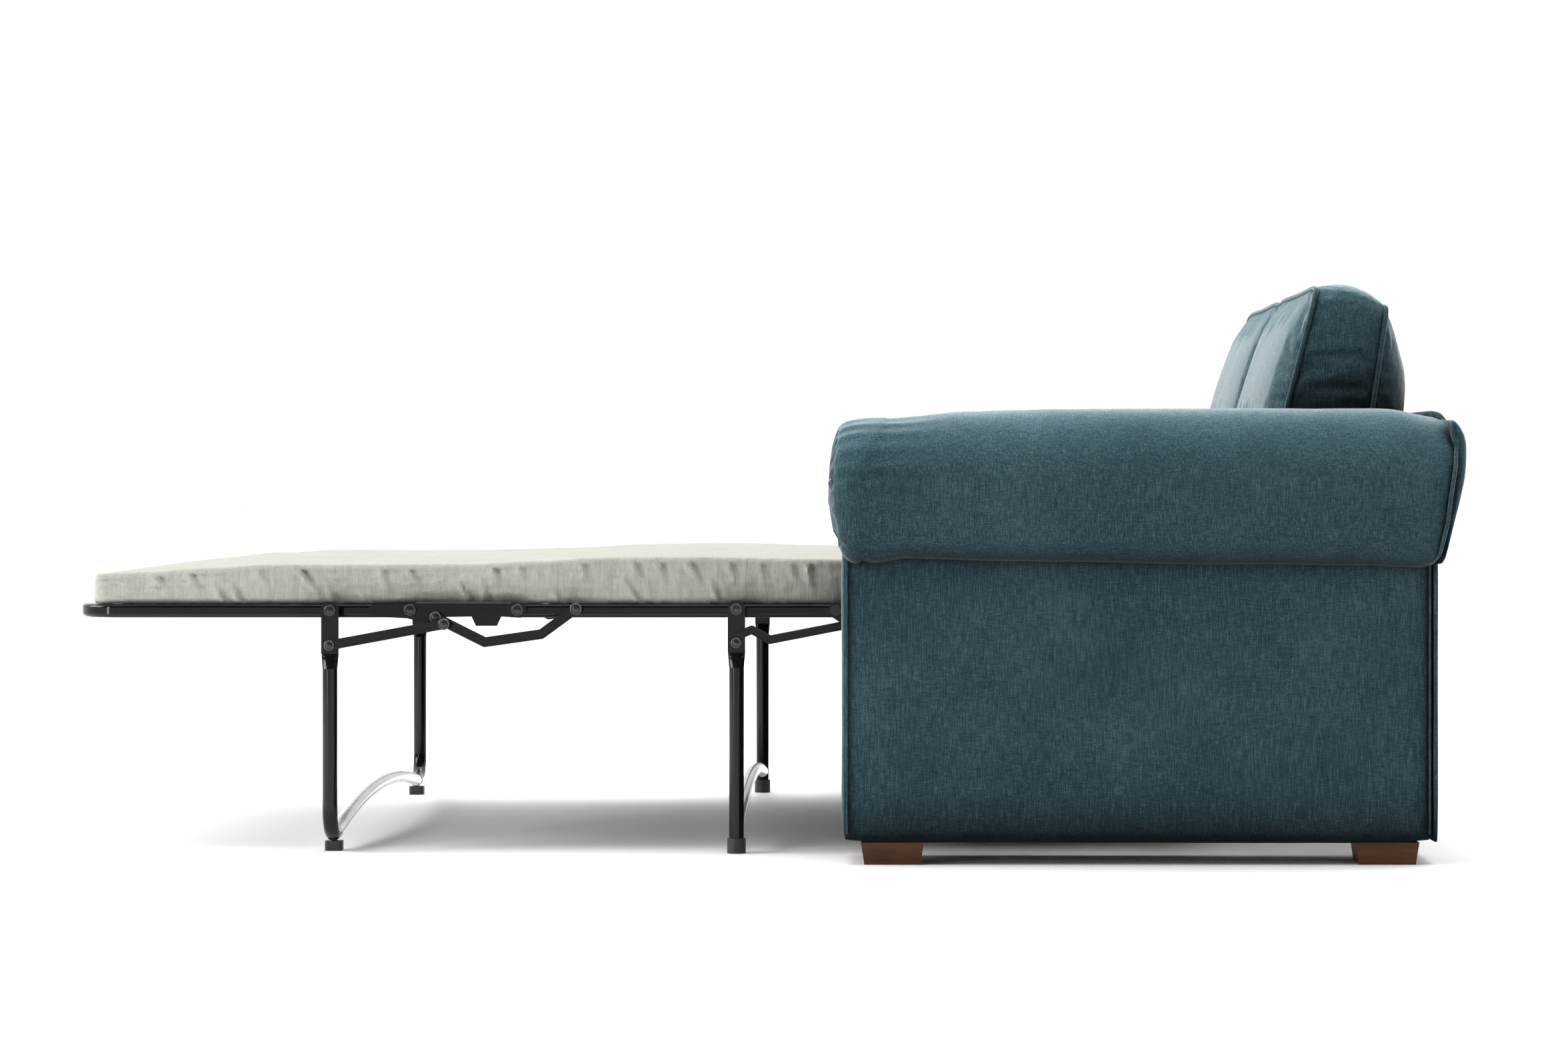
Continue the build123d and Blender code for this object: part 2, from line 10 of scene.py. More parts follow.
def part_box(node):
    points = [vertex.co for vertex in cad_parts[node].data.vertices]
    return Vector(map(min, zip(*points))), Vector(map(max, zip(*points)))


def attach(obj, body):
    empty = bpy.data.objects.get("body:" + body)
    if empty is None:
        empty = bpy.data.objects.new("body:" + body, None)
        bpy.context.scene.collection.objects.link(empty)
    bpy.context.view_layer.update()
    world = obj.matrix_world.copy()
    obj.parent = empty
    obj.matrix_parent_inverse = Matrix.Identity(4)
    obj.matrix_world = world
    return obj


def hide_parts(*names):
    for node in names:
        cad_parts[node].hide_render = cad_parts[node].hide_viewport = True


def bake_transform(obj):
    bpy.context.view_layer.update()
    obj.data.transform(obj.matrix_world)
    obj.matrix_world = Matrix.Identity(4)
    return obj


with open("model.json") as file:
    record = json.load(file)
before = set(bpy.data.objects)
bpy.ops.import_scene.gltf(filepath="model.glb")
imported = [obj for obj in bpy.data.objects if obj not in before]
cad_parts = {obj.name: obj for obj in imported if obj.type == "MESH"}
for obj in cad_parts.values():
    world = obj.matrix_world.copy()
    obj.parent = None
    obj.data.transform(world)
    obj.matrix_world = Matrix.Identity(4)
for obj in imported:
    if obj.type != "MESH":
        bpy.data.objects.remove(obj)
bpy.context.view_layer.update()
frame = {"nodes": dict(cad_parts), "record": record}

# Stations run forward, towards -Y, from a line this far behind the front edge of the arm panels.
PANEL_AHEAD = 0.035
PANEL_LO, PANEL_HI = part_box("arm_panel_right")
Y_FRONT = PANEL_LO.y + PANEL_AHEAD
MM = 0.001
SIDES = (("right", 1), ("left", -1))


def yz(f, z):
    """Station and height in millimetres to row-frame y and z in metres."""
    return Y_FRONT - f * MM, z * MM


def smooth(t):
    t = min(1.0, max(0.0, t))
    return t * t * (3 - 2 * t)


def wander(x, y, z, scale, seed=0.0):
    return noise.noise(Vector((x * scale + seed, y * scale - seed, z * scale + 2 * seed)))


# ------------------------------------------------------------------ materials
def new_material(name):
    m = bpy.data.materials.new(name)
    m.use_nodes = True
    return m, m.node_tree.nodes, m.node_tree.links, m.node_tree.nodes["Principled BSDF"]


def node(nodes, kind, **values):
    n = nodes.new(kind)
    for key, value in values.items():
        if key in n.inputs:
            n.inputs[key].default_value = value
        else:
            setattr(n, key, value)
    return n


def ramp(nodes, stops):
    r = nodes.new("ShaderNodeValToRGB")
    while len(r.color_ramp.elements) < len(stops):
        r.color_ramp.elements.new(0.5)
    for element, (at, colour) in zip(r.color_ramp.elements, stops):
        element.position = at
        element.color = (*colour, 1) if len(colour) == 3 else colour
    return r


def mapped(nodes, links, scale):
    coords = nodes.new("ShaderNodeTexCoord")
    place = node(nodes, "ShaderNodeMapping", Scale=scale)
    links.new(coords.outputs["Object"], place.inputs["Vector"])
    return place.outputs["Vector"]


def noise_tex(nodes, links, scale, size=1.0, detail=4.0, rough=0.55):
    n = node(nodes, "ShaderNodeTexNoise", Scale=size, Detail=detail, Roughness=rough)
    links.new(mapped(nodes, links, scale), n.inputs["Vector"])
    return n.outputs["Fac"]


def math_node(nodes, links, kind, a, b):
    n = nodes.new("ShaderNodeMath")
    n.operation = kind
    for socket, value in zip(n.inputs, (a, b)):
        if isinstance(value, (int, float)):
            socket.default_value = value
        else:
            links.new(value, socket)
    return n.outputs[0]


def bump(nodes, links, shader, height, strength, distance, under=None):
    b = node(nodes, "ShaderNodeBump", Strength=strength, Distance=distance)
    links.new(height, b.inputs["Height"])
    if under is not None:
        links.new(under, b.inputs["Normal"])
    links.new(b.outputs["Normal"], shader.inputs["Normal"])
    return b.outputs["Normal"]


def remap(nodes, links, value, start, end, low, high):
    """Map Range node: start to end becomes low to high, held beyond both ends."""
    r = nodes.new("ShaderNodeMapRange")
    for socket, number in (("From Min", start), ("From Max", end), ("To Min", low), ("To Max", high)):
        r.inputs[socket].default_value = number
    links.new(value, r.inputs["Value"])
    return r


def centred(nodes, links, value, gain):
    """A noise value turned into a swing of plus or minus gain about zero."""
    return math_node(nodes, links, "MULTIPLY", math_node(nodes, links, "SUBTRACT", value, 0.5), gain)


# Painted light on cloth: ambient occlusion within this reach paints shade into crevices, and the facing of
# the surface paints lighter or darker tops and shaded undersides
CREVICE_REACH = 0.13
CREVICE_SHUT, CREVICE_OPEN = 0.56, 0.99
FACING_UP = (0.1, 1.0)
FACING_DOWN = (-0.85, 0.05)


def painted_light_factors(nodes, links, seam, top, under):
    """Painted light factors for the nap and for the colour: painted shade in crevices and underneath; the
    colour also takes the top factor on upward faces, painted light above 1 and painted shade below 1.
    """
    # painted shade in crevices, from ambient occlusion
    crevice = node(nodes, "ShaderNodeAmbientOcclusion", Distance=CREVICE_REACH)
    crevice.samples = 6
    painted_crevice_shade = remap(nodes, links, crevice.outputs["AO"], CREVICE_SHUT, CREVICE_OPEN, 1.0 - seam, 1.0)
    facing = nodes.new("ShaderNodeSeparateXYZ")
    links.new(nodes.new("ShaderNodeNewGeometry").outputs["Normal"], facing.inputs["Vector"])
    # painted light on upward faces and painted shade on downward faces
    painted_top_light = remap(nodes, links, facing.outputs["Z"], *FACING_UP, 1.0, top)
    painted_under_shade = remap(nodes, links, facing.outputs["Z"], *FACING_DOWN, under, 1.0)
    painted_crevice_and_under_shade = math_node(nodes, links, "MULTIPLY", painted_crevice_shade.outputs["Result"], painted_under_shade.outputs["Result"])
    return painted_crevice_and_under_shade, math_node(nodes, links, "MULTIPLY", painted_crevice_and_under_shade, painted_top_light.outputs["Result"])


def woven(name, dark, mid, light, thread, fuzz, mottle=0.3, crease=0.0, slub=1.0, spread=0.2, seam=0.85,
          top=1.0, under=1.0):
    """Woven cloth: crossed threads, slubs, mottled dye and a soft nap. seam sets how dark the painted shade
    in crevices is, in the colour and the nap.

    top and under scale the colour where the cloth faces up or down: top paints light on upward faces when
    above 1 and shade when below 1; under paints shade on downward faces and also dims the nap there.
    """
    m, nodes, links, shader = new_material(name)
    cloud = noise_tex(nodes, links, (1, 1, 1), 6.0, 5.0)
    streak_up = noise_tex(nodes, links, (640, 640, 38), 1.0, 3.0, 0.6)
    streak_over = noise_tex(nodes, links, (760, 62, 760), 1.0, 3.0, 0.6)
    speck = noise_tex(nodes, links, (1, 1, 1), 900.0, 2.0, 0.7)
    threads = math_node(nodes, links, "ADD", centred(nodes, links, streak_up, 0.85 * slub),
                        centred(nodes, links, streak_over, 0.55 * slub))
    grain = math_node(nodes, links, "ADD", threads, centred(nodes, links, speck, 1.0))
    tone = math_node(nodes, links, "ADD", grain, centred(nodes, links, cloud, mottle))
    tone = math_node(nodes, links, "ADD", tone, 0.5)
    colours = ramp(nodes, [(0.5 - spread, dark), (0.5, mid), (0.5 + spread, light)])
    links.new(tone, colours.inputs["Fac"])
    painted_sheen_shade, painted_colour_light = painted_light_factors(nodes, links, seam, top, under)
    # the colour is scaled by painted light and shade
    shaded = nodes.new("ShaderNodeVectorMath")
    shaded.operation = "SCALE"
    links.new(colours.outputs["Color"], shaded.inputs[0])
    links.new(painted_colour_light, shaded.inputs["Scale"])
    links.new(shaded.outputs["Vector"], shader.inputs["Base Color"])
    shader.inputs["Roughness"].default_value = 0.9
    shader.inputs["Specular IOR Level"].default_value = 0.12
    nap = math_node(nodes, links, "ADD", math_node(nodes, links, "MULTIPLY", grain, 1.8 * fuzz), fuzz)
    # painted shade in crevices and underneath dims the sheen
    nap = math_node(nodes, links, "MULTIPLY", math_node(nodes, links, "MAXIMUM", nap, 0.02), painted_sheen_shade)
    links.new(nap, shader.inputs["Sheen Weight"])
    shader.inputs["Sheen Roughness"].default_value = 0.30
    shader.inputs["Sheen Tint"].default_value = (*[min(1.0, c * 1.6 + 0.66) for c in light[:3]], 1)
    waves = []
    for turn in ((0, 0, thread), (0, thread, 0), (thread, 0, 0)):
        w = node(nodes, "ShaderNodeTexWave", Scale=1.0, Distortion=1.2, Detail=1.0)
        w.bands_direction = "DIAGONAL"
        links.new(mapped(nodes, links, turn), w.inputs["Vector"])
        waves.append(w.outputs["Fac"])
    weave = math_node(nodes, links, "MAXIMUM", waves[0], waves[1])
    weave = math_node(nodes, links, "MAXIMUM", weave, waves[2])
    cloth = math_node(nodes, links, "ADD", math_node(nodes, links, "MULTIPLY", weave, 0.25),
                      math_node(nodes, links, "MULTIPLY", threads, 2.2))
    creased = None
    if crease:
        folds = noise_tex(nodes, links, (26, 26, 5), 1.0, 4.0, 0.6)
        creased = bump(nodes, links, shader, folds, crease, 0.012)
    bump(nodes, links, shader, cloth, 0.35, 0.0008, creased)
    return m


def enamel(name, colour, rough, metal=0.0, coat=0.6, wear=0.25, grain=(1, 1, 1)):
    """Sprayed or plated steel with orange peel, rubbed patches and smudges."""
    m, nodes, links, shader = new_material(name)
    smudge = noise_tex(nodes, links, grain, 9.0, 6.0)
    rubbed = noise_tex(nodes, links, (1, 1, 1), 60.0, 6.0, 0.7)
    lighter = tuple(min(1.0, c * 1.7 + 0.002) for c in colour)
    colours = ramp(nodes, [(0.35, colour), (0.72, lighter)])
    links.new(smudge, colours.inputs["Fac"])
    links.new(colours.outputs["Color"], shader.inputs["Base Color"])
    worn = math_node(nodes, links, "MULTIPLY", rubbed, wear)
    gloss = math_node(nodes, links, "ADD", rough - wear * 0.5, worn)
    links.new(gloss, shader.inputs["Roughness"])
    shader.inputs["Metallic"].default_value = metal
    shader.inputs["Specular IOR Level"].default_value = 0.15
    shader.inputs["Coat Weight"].default_value = coat
    shader.inputs["Coat Roughness"].default_value = 0.07
    peel = noise_tex(nodes, links, (1, 1, 1), 260.0, 2.0)
    bump(nodes, links, shader, peel, 0.08, 0.0004)
    return m


def timber(name, dark, light, rough, coat, along):
    """Grain lines drawn out along one axis, with pores."""
    m, nodes, links, shader = new_material(name)
    scale = [34, 34, 34]
    scale["XYZ".index(along)] = 3.0
    grain = noise_tex(nodes, links, tuple(scale), 1.6, 8.0, 0.65)
    pores = noise_tex(nodes, links, tuple(s * 9 for s in scale), 1.0, 3.0, 0.7)
    tone = math_node(nodes, links, "ADD", math_node(nodes, links, "MULTIPLY", grain, 0.8),
                     math_node(nodes, links, "MULTIPLY", pores, 0.3))
    between = tuple((a + b) / 2 for a, b in zip(dark, light))
    colours = ramp(nodes, [(0.38, dark), (0.55, between), (0.72, light)])
    links.new(tone, colours.inputs["Fac"])
    links.new(colours.outputs["Color"], shader.inputs["Base Color"])
    shader.inputs["Roughness"].default_value = rough
    shader.inputs["Specular IOR Level"].default_value = 0.25
    shader.inputs["Coat Weight"].default_value = coat
    bump(nodes, links, shader, tone, 0.25, 0.001)
    return m


def plastic(name, colour, rough):
    m, nodes, links, shader = new_material(name)
    blotch = noise_tex(nodes, links, (1, 1, 1), 24.0, 5.0)
    colours = ramp(nodes, [(0.3, colour), (0.75, tuple(min(1.0, c * 1.8 + 0.01) for c in colour))])
    links.new(blotch, colours.inputs["Fac"])
    links.new(colours.outputs["Color"], shader.inputs["Base Color"])
    shader.inputs["Roughness"].default_value = rough
    grain = noise_tex(nodes, links, (1, 1, 1), 500.0, 2.0)
    bump(nodes, links, shader, grain, 0.2, 0.0005)
    return m


def spring_wire(name):
    """Close-wound wire: turns run round the spring's length along X."""
    m, nodes, links, shader = new_material(name)
    turns = node(nodes, "ShaderNodeTexWave", Scale=1.0, Distortion=0.0)
    turns.bands_direction = "X"
    links.new(mapped(nodes, links, (160, 1, 1)), turns.inputs["Vector"])
    tarnish = noise_tex(nodes, links, (1, 1, 1), 40.0, 5.0)
    colours = ramp(nodes, [(0.3, (0.33, 0.32, 0.31)), (0.7, (0.6, 0.6, 0.6))])
    links.new(tarnish, colours.inputs["Fac"])
    links.new(colours.outputs["Color"], shader.inputs["Base Color"])
    shader.inputs["Metallic"].default_value = 1.0
    shader.inputs["Roughness"].default_value = 0.32
    bump(nodes, links, shader, turns.outputs["Fac"], 0.8, 0.0012)
    return m


TEAL_DARK = (0.009, 0.024, 0.031)
TEAL_MID = (0.017, 0.040, 0.050)
TEAL_LIGHT = (0.050, 0.088, 0.100)
# All cloths below carry painted shade in crevices, set by seam, 0.85 unless given; the chenille also has a
# painted highlight on upward faces and painted shade under downward ones, and the ticking has painted shade
# on its top
CHENILLE = woven("chenille", TEAL_DARK, TEAL_MID, TEAL_LIGHT, 700.0, 0.75, under=0.5, top=1.7)
WELT = woven("chenille_welt", TEAL_DARK, TEAL_MID, TEAL_LIGHT, 900.0, 0.75, mottle=0.2, seam=0.3)
TICKING = woven("ticking", (0.255, 0.252, 0.222), (0.305, 0.30, 0.268), (0.375, 0.37, 0.338), 900.0, 0.04,
                mottle=0.35, crease=0.5, slub=0.7, spread=0.3, seam=0.6, top=0.73)
SLING = woven("sling", (0.012, 0.012, 0.013), (0.022, 0.022, 0.024), (0.05, 0.05, 0.052), 500.0, 0.05)
BLACK = enamel("black_enamel", (0.0028, 0.0028, 0.003), 0.12, coat=0.14, wear=0.08)
RIVET = enamel("rivet_plate", (0.016, 0.016, 0.017), 0.22, metal=0.3, coat=0.35)
# lighter finish for the ring on each rivet head: a painted highlight
PAINTED_RING_HIGHLIGHT = enamel("rivet_ring_painted_highlight", (0.075, 0.075, 0.078), 0.35, metal=0.5, coat=0.1)
PALE = enamel("pale_lacquer", (0.70, 0.70, 0.70), 0.30, metal=0.1, coat=0.4)
WALNUT = timber("walnut", (0.034, 0.0105, 0.0022), (0.090, 0.032, 0.0085), 0.55, 0.03, "Y")
BOARD = timber("board", (0.34, 0.22, 0.12), (0.56, 0.41, 0.26), 0.7, 0.0, "X")
CAP = plastic("cap", (0.0035, 0.0035, 0.004), 0.45)
SPRING = spring_wire("spring_wire")

SLOT_FINISH = {"upholstery": CHENILLE, "mattress_ticking": TICKING, "deck_cloth": SLING,
               "spring_steel": SPRING, "cap_plastic": CAP, "white_bar": PALE, "walnut": WALNUT,
               "frame_board": BOARD, "rivet_steel": RIVET, "black_steel": BLACK}


def paint_cad():
    for part in frame["record"]["subparts"]:
        mesh = frame["nodes"][part["node"]].data
        mesh.materials.clear()
        mesh.materials.append(SLOT_FINISH[part["material_slot"]])


paint_cad()


# ------------------------------------------------------------------ mesh helpers
def add_object(name, data):
    obj = bpy.data.objects.new(name, data)
    bpy.context.scene.collection.objects.link(obj)
    return obj


def arc_drop(depth, radius):
    """How far a rounded edge has fallen away at this depth in from it."""
    if depth >= radius:
        return 0.0
    return radius - math.sqrt(max(0.0, radius ** 2 - (radius - depth) ** 2))


def radial(a):
    """Unit vector at angle a in the upright plane across the bed."""
    return Vector((math.cos(a), 0, math.sin(a)))


def mesh_object(name, verts, faces, material, sharp=None):
    mesh = bpy.data.meshes.new(name)
    mesh.from_pydata([tuple(v) for v in verts], [], faces)
    bm = bmesh.new()
    bm.from_mesh(mesh)
    bmesh.ops.remove_doubles(bm, verts=bm.verts, dist=1e-6)
    bmesh.ops.recalc_face_normals(bm, faces=bm.faces)
    bm.to_mesh(mesh)
    bm.free()
    mesh.materials.append(material)
    mesh.shade_smooth()
    if sharp is not None:
        mesh.set_sharp_from_angle(angle=sharp)
    return add_object(name, mesh)


def apply_modifiers(obj):
    deps = bpy.context.evaluated_depsgraph_get()
    deps.update()
    mesh = bpy.data.meshes.new_from_object(obj.evaluated_get(deps))
    old = obj.data
    obj.modifiers.clear()
    obj.data = mesh
    bpy.data.meshes.remove(old)
    mesh.shade_smooth()


def rings_to_faces(rings, around):
    """Quads between stacked rings of points, with both ends closed."""
    faces = []
    for i in range(rings - 1):
        for j in range(around):
            k = (j + 1) % around
            faces.append((i * around + j, i * around + k, (i + 1) * around + k, (i + 1) * around + j))
    faces.append(tuple(reversed(range(around))))
    faces.append(tuple((rings - 1) * around + j for j in range(around)))
    return faces


def welt(name, points, radius, body, closed=False, material=None):
    """A corded seam: a round tube that follows the points."""
    curve = bpy.data.curves.new(name, "CURVE")
    curve.dimensions = "3D"
    curve.bevel_depth = radius
    curve.bevel_resolution = 3
    curve.use_fill_caps = True
    spline = curve.splines.new("POLY")
    spline.points.add(len(points) - 1)
    for target, spot in zip(spline.points, points):
        target.co = (*spot, 1)
    spline.use_cyclic_u = closed
    curve.materials.append(material or WELT)
    obj = add_object(name, curve)
    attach(obj, body)
    return obj


def mirror_mesh(obj, name):
    """The same piece on the other side of x = 0."""
    mesh = obj.data.copy()
    mesh.transform(Matrix.Scale(-1, 4, Vector((1, 0, 0))))
    mesh.flip_normals()
    return add_object(name, mesh)


CLOTH_VOXEL = 0.0075
CLOTH_PRESSURE = 2.2
# a negative shrink: the cloth grows by this share
CLOTH_GROWTH = -0.025
CLOTH_REACH = 0.011
CLOTH_FRAMES = 20


def inflate(obj, pinned):
    """Voxel remesh, then blow the cloth up with its seams held, and cap how far it moves."""
    remesh = obj.modifiers.new("remesh", "REMESH")
    remesh.mode = "VOXEL"
    remesh.voxel_size = CLOTH_VOXEL
    apply_modifiers(obj)
    rest = [v.co.copy() for v in obj.data.vertices]
    group = obj.vertex_groups.new(name="held")
    for v in obj.data.vertices:
        hold = pinned(v.co)
        if hold > 0:
            group.add([v.index], hold, "REPLACE")
    cloth = obj.modifiers.new("cloth", "CLOTH")
    s = cloth.settings
    s.quality = 5
    s.mass = 0.35
    s.tension_stiffness = 12
    s.compression_stiffness = 12
    s.shear_stiffness = 6
    s.bending_stiffness = 0.35
    s.use_pressure = True
    s.uniform_pressure_force = CLOTH_PRESSURE
    s.vertex_group_mass = "held"
    s.shrink_min = CLOTH_GROWTH
    s.effector_weights.gravity = 0
    cloth.collision_settings.use_collision = False
    cloth.collision_settings.use_self_collision = False
    cloth.point_cache.frame_start = 1
    cloth.point_cache.frame_end = CLOTH_FRAMES
    scene = bpy.context.scene
    for k in range(1, CLOTH_FRAMES + 1):
        scene.frame_set(k)
    apply_modifiers(obj)
    scene.frame_set(1)
    for v, home in zip(obj.data.vertices, rest):
        move = v.co - home
        if move.length > CLOTH_REACH:
            v.co = home + move.normalized() * CLOTH_REACH
    obj.vertex_groups.clear()


def refine(obj):
    sub = obj.modifiers.new("sub", "SUBSURF")
    sub.levels = sub.render_levels = 1
    apply_modifiers(obj)


# ------------------------------------------------------------------ mattress
FOOT_OVERHANG = 0.007
BED_FOOT_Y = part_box("mattress_foot")[0].y - FOOT_OVERHANG
BED_HEAD_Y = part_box("mattress_head")[1].y
BED_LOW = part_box("mattress_head")[0].z
BED_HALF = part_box("mattress_foot")[1].x
BED_STEP = 0.0045
# radii: corners seen from above, rounded ends, and the edge between top and border
BED_CORNER, BED_END_ROUND, BED_TOP_ROUND = 0.020, 0.010, 0.008
BED_CROWN = 0.0065
BORDER_ROWS = 14
# the border's lower edge sits this far above the underside, which is drawn in this far
BORDER_LIFT, UNDER_INSET = 0.003, 0.005
# reach to each side of a joint; mattress_piece works out points at this reach but nothing uses them, so no
# piece bends
BLEND_REACH = 0.075
# (station, height) of the top edge, from the head to the foot
BED_TOP = [(-560, 468), (-40, 470), (110, 472), (270, 475), (430, 474), (540, 468), (650, 464),
           (800, 463), (965, 463), (1070, 457), (1180, 450), (1260, 447)]
JOINT_AT = {j["name"]: Vector(j["pos_m"]) for j in frame["record"]["behaviour"]["joints"]}


def joint_station(name):
    at = JOINT_AT[name]
    return (Y_FRONT - at.y) / MM, at.z / MM


def bed_top(f):
    """Height of the mattress's top edge along the bed, in metres."""
    for (f0, z0), (f1, z1) in zip(BED_TOP, BED_TOP[1:]):
        if f <= f1:
            return (z0 + (z1 - z0) * smooth((f - f0) / (f1 - f0))) * MM
    return BED_TOP[-1][1] * MM


PUCKERS = []
PUCKER_WIDTH = 0.0055


def scatter_puckers():
    """Small slanted pulls along both edges of the mattress border."""
    y = BED_FOOT_Y + BED_CORNER
    k = 0
    while y < BED_HEAD_Y:
        r = noise.noise(Vector((k * 3.7, 1.3, 0.0)))
        q = noise.noise(Vector((k * 5.1, 7.3, 2.0)))
        y += 0.022 + 0.040 * (r + 0.6)
        lean = 0.35 + 0.7 * (q + 0.4)
        from_top = noise.noise(Vector((k * 2.3, 4.4, 9.0))) > -0.05
        PUCKERS.append((y, lean, from_top, 0.0034 + 0.0040 * abs(r + q), 0.45 + 0.8 * abs(q)))
        k += 1


scatter_puckers()


def pucker(y, u, side):
    """Depth of the pulls at y, with u running 0 to 1 down the border."""
    total = 0.0
    for at, lean, from_top, depth, reach in PUCKERS:
        if abs(at - y) > 0.08:
            continue
        line = at + side * 0.017 + lean * 0.045 * u
        near = (y - line) / PUCKER_WIDTH
        if abs(near) > 3:
            continue
        start = u if from_top else 1 - u
        fade = max(0.0, 1 - start / reach)
        total += depth * fade * (math.exp(-near * near) - 0.6 * math.exp(-(near - 1.6) ** 2))
    return total


def top_rise(x, y, edge, d_end):
    """Height of the top above its own edge line: crown, rounded edge and soft waves."""
    crown = BED_CROWN * smooth(edge / 0.40) * smooth(d_end / 0.12)
    swell = 0.0030 * wander(x, y, 0, 4.0, 3.1) + 0.0013 * wander(x, y, 0, 15.0, 7.7)
    swell += 0.0014 * wander(x * 0.3, y, 0, 26.0, 4.7) * smooth((0.22 - edge) / 0.2)
    return crown - arc_drop(edge, BED_TOP_ROUND) + swell * smooth(edge / 0.04) * smooth(d_end / 0.04)


def border_shift(y, u, side, d_end):
    """How far the border stands out at u, running 0 to 1 down it: bulge, waves and puckers."""
    belly = max(0.0, math.sin(math.pi * u))
    wave = 0.0012 * wander(y, u, side, 11.0, 5.0)
    fine = 0.0015 * wander(y, u * 0.12, side, 62.0, 2.0) + 0.0008 * wander(y, u * 0.10, side, 104.0, 6.3)
    pull = pucker(y, u, side) * smooth(d_end / 0.02)
    return 0.004 * belly ** 0.7 - 0.002 + wave + fine * belly ** 0.5 + pull


def mattress_ring(y):
    """The mattress's outline across the bed at y, as (x, z) points."""
    across = [0.5 - 0.5 * math.cos(math.pi * i / 64) for i in range(65)]
    d_end = max(0.0, min(y - BED_FOOT_Y, BED_HEAD_Y - y))
    half = BED_HALF - 0.001 - arc_drop(d_end, BED_CORNER)
    end_round = arc_drop(d_end, BED_END_ROUND)
    edge_top = bed_top((Y_FRONT - y) / MM) - end_round
    low = BED_LOW + end_round * 0.5
    loop = []
    for t in across:
        x = -half + 2 * half * t
        edge = min(t, 1 - t) * 2 * half
        loop.append((x, max(low + 0.004, edge_top + top_rise(x, y, edge, d_end))))
    columns = []
    for side in (1, -1):
        z_high = loop[-1][1] if side > 0 else loop[0][1]
        column = []
        for r in range(1, BORDER_ROWS):
            u = r / BORDER_ROWS
            z = z_high + (low + BORDER_LIFT - z_high) * u
            column.append((side * (half + border_shift(y, u, side, d_end)), z))
        columns.append(column)
    inner = half - UNDER_INSET
    bottom = [(-inner + 2 * inner * t, low) for t in reversed(across)]
    return loop + columns[0] + bottom + list(reversed(columns[1]))


def mattress_surface(y0, y1):
    """The mattress between two places along the bed: boxed border, crowned and wavy top."""
    count = max(2, int(round((y1 - y0) / BED_STEP)))
    verts = []
    for i in range(count + 1):
        y = y0 + (y1 - y0) * i / count
        ring = mattress_ring(y)
        verts += [Vector((x, y, z)) for x, z in ring]
    return verts, rings_to_faces(count + 1, len(ring))


def mattress_piece(name, y0, y1, blend_with, nodes_replaced):
    """One stretch of the mattress, from y0 at its foot side to y1 at its head side."""
    verts, faces = mattress_surface(y0, y1)
    obj = mesh_object(name, verts, faces, TICKING, sharp=math.radians(60))
    body_a, body_b, joint = blend_with
    at = JOINT_AT[joint]
    start = at + Vector((0, BLEND_REACH, 0))
    end = at - Vector((0, BLEND_REACH, 0))
    if joint == "head_fold":
        start, end = end, start
    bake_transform(obj)
    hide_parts(*nodes_replaced)
    return obj


# The pieces meet half way along the hinge plates and on the stiff part of the middle section.
HEAD_SPLIT_FROM_JOINT = 0.295
PLATE_MID_Y = (JOINT_AT["plate_fold"].y + JOINT_AT["foot_fold"].y) / 2
HEAD_SPLIT_Y = JOINT_AT["head_fold"].y - HEAD_SPLIT_FROM_JOINT
mattress_piece("mattress_head_pad", HEAD_SPLIT_Y, BED_HEAD_Y,
               ("middle_section", "head_section", "head_fold"), ["mattress_head"])
mattress_piece("mattress_middle_pad", PLATE_MID_Y, HEAD_SPLIT_Y,
               ("middle_section", "hinge_plates", "plate_fold"), ["mattress_middle"])
mattress_piece("mattress_foot_pad", BED_FOOT_Y, PLATE_MID_Y,
               ("hinge_plates", "foot_section", "foot_fold"), ["mattress_foot", "mattress_bend"])


# ------------------------------------------------------------------ rivets and edges
# (radius, height) down the head, as shares of its own radius and height
DOME_PROFILE = [(1.0, 0.0), (1.0, 0.30), (0.93, 0.52), (0.80, 0.55), (0.72, 0.40), (0.62, 0.38),
                (0.54, 0.62), (0.40, 0.85), (0.22, 0.97), (0.02, 1.0)]
DOME_AROUND = 40
# where the lighter ring sits on each rivet head and how thick it is: a painted highlight
RING_AT = 0.86
RING_THICK = 0.0005
RIB_RADIUS = 0.0010
RIB_TRIM = 0.013
BEAD_RADIUS = 0.0014
BEAD_END = 0.024


def circle(x, y, z, radius):
    """Points round a circle that faces along X."""
    turns = [2 * math.pi * j / DOME_AROUND for j in range(DOME_AROUND)]
    return [(x, y + radius * math.cos(a), z + radius * math.sin(a)) for a in turns]


def dome(name, station, x_face, radius, height, body):
    """Formed rivet head: a rim, a groove and a low dome, on both sides of the bed, with a lighter ring on it
    as a painted highlight.
    """
    y, z = yz(*station)
    for side, sign in SIDES:
        verts = []
        for r, h in DOME_PROFILE:
            verts += circle(sign * (x_face + h * height), y, z, radius * r)
        faces = rings_to_faces(len(DOME_PROFILE), DOME_AROUND)
        obj = mesh_object(f"{name}_{side}", verts, faces, RIVET)
        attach(obj, body)
        # lighter ring round the head: a painted highlight
        ring = circle(sign * (x_face + 0.5 * height), y, z, RING_AT * radius)
        thick = min(RING_THICK, 0.4 * height)
        welt(f"{name}_ring_{side}", ring, thick, body, closed=True, material=PAINTED_RING_HIGHLIGHT)


def outer_x(node_name):
    """How far out a node's right-hand side reaches."""
    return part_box(node_name)[1].x


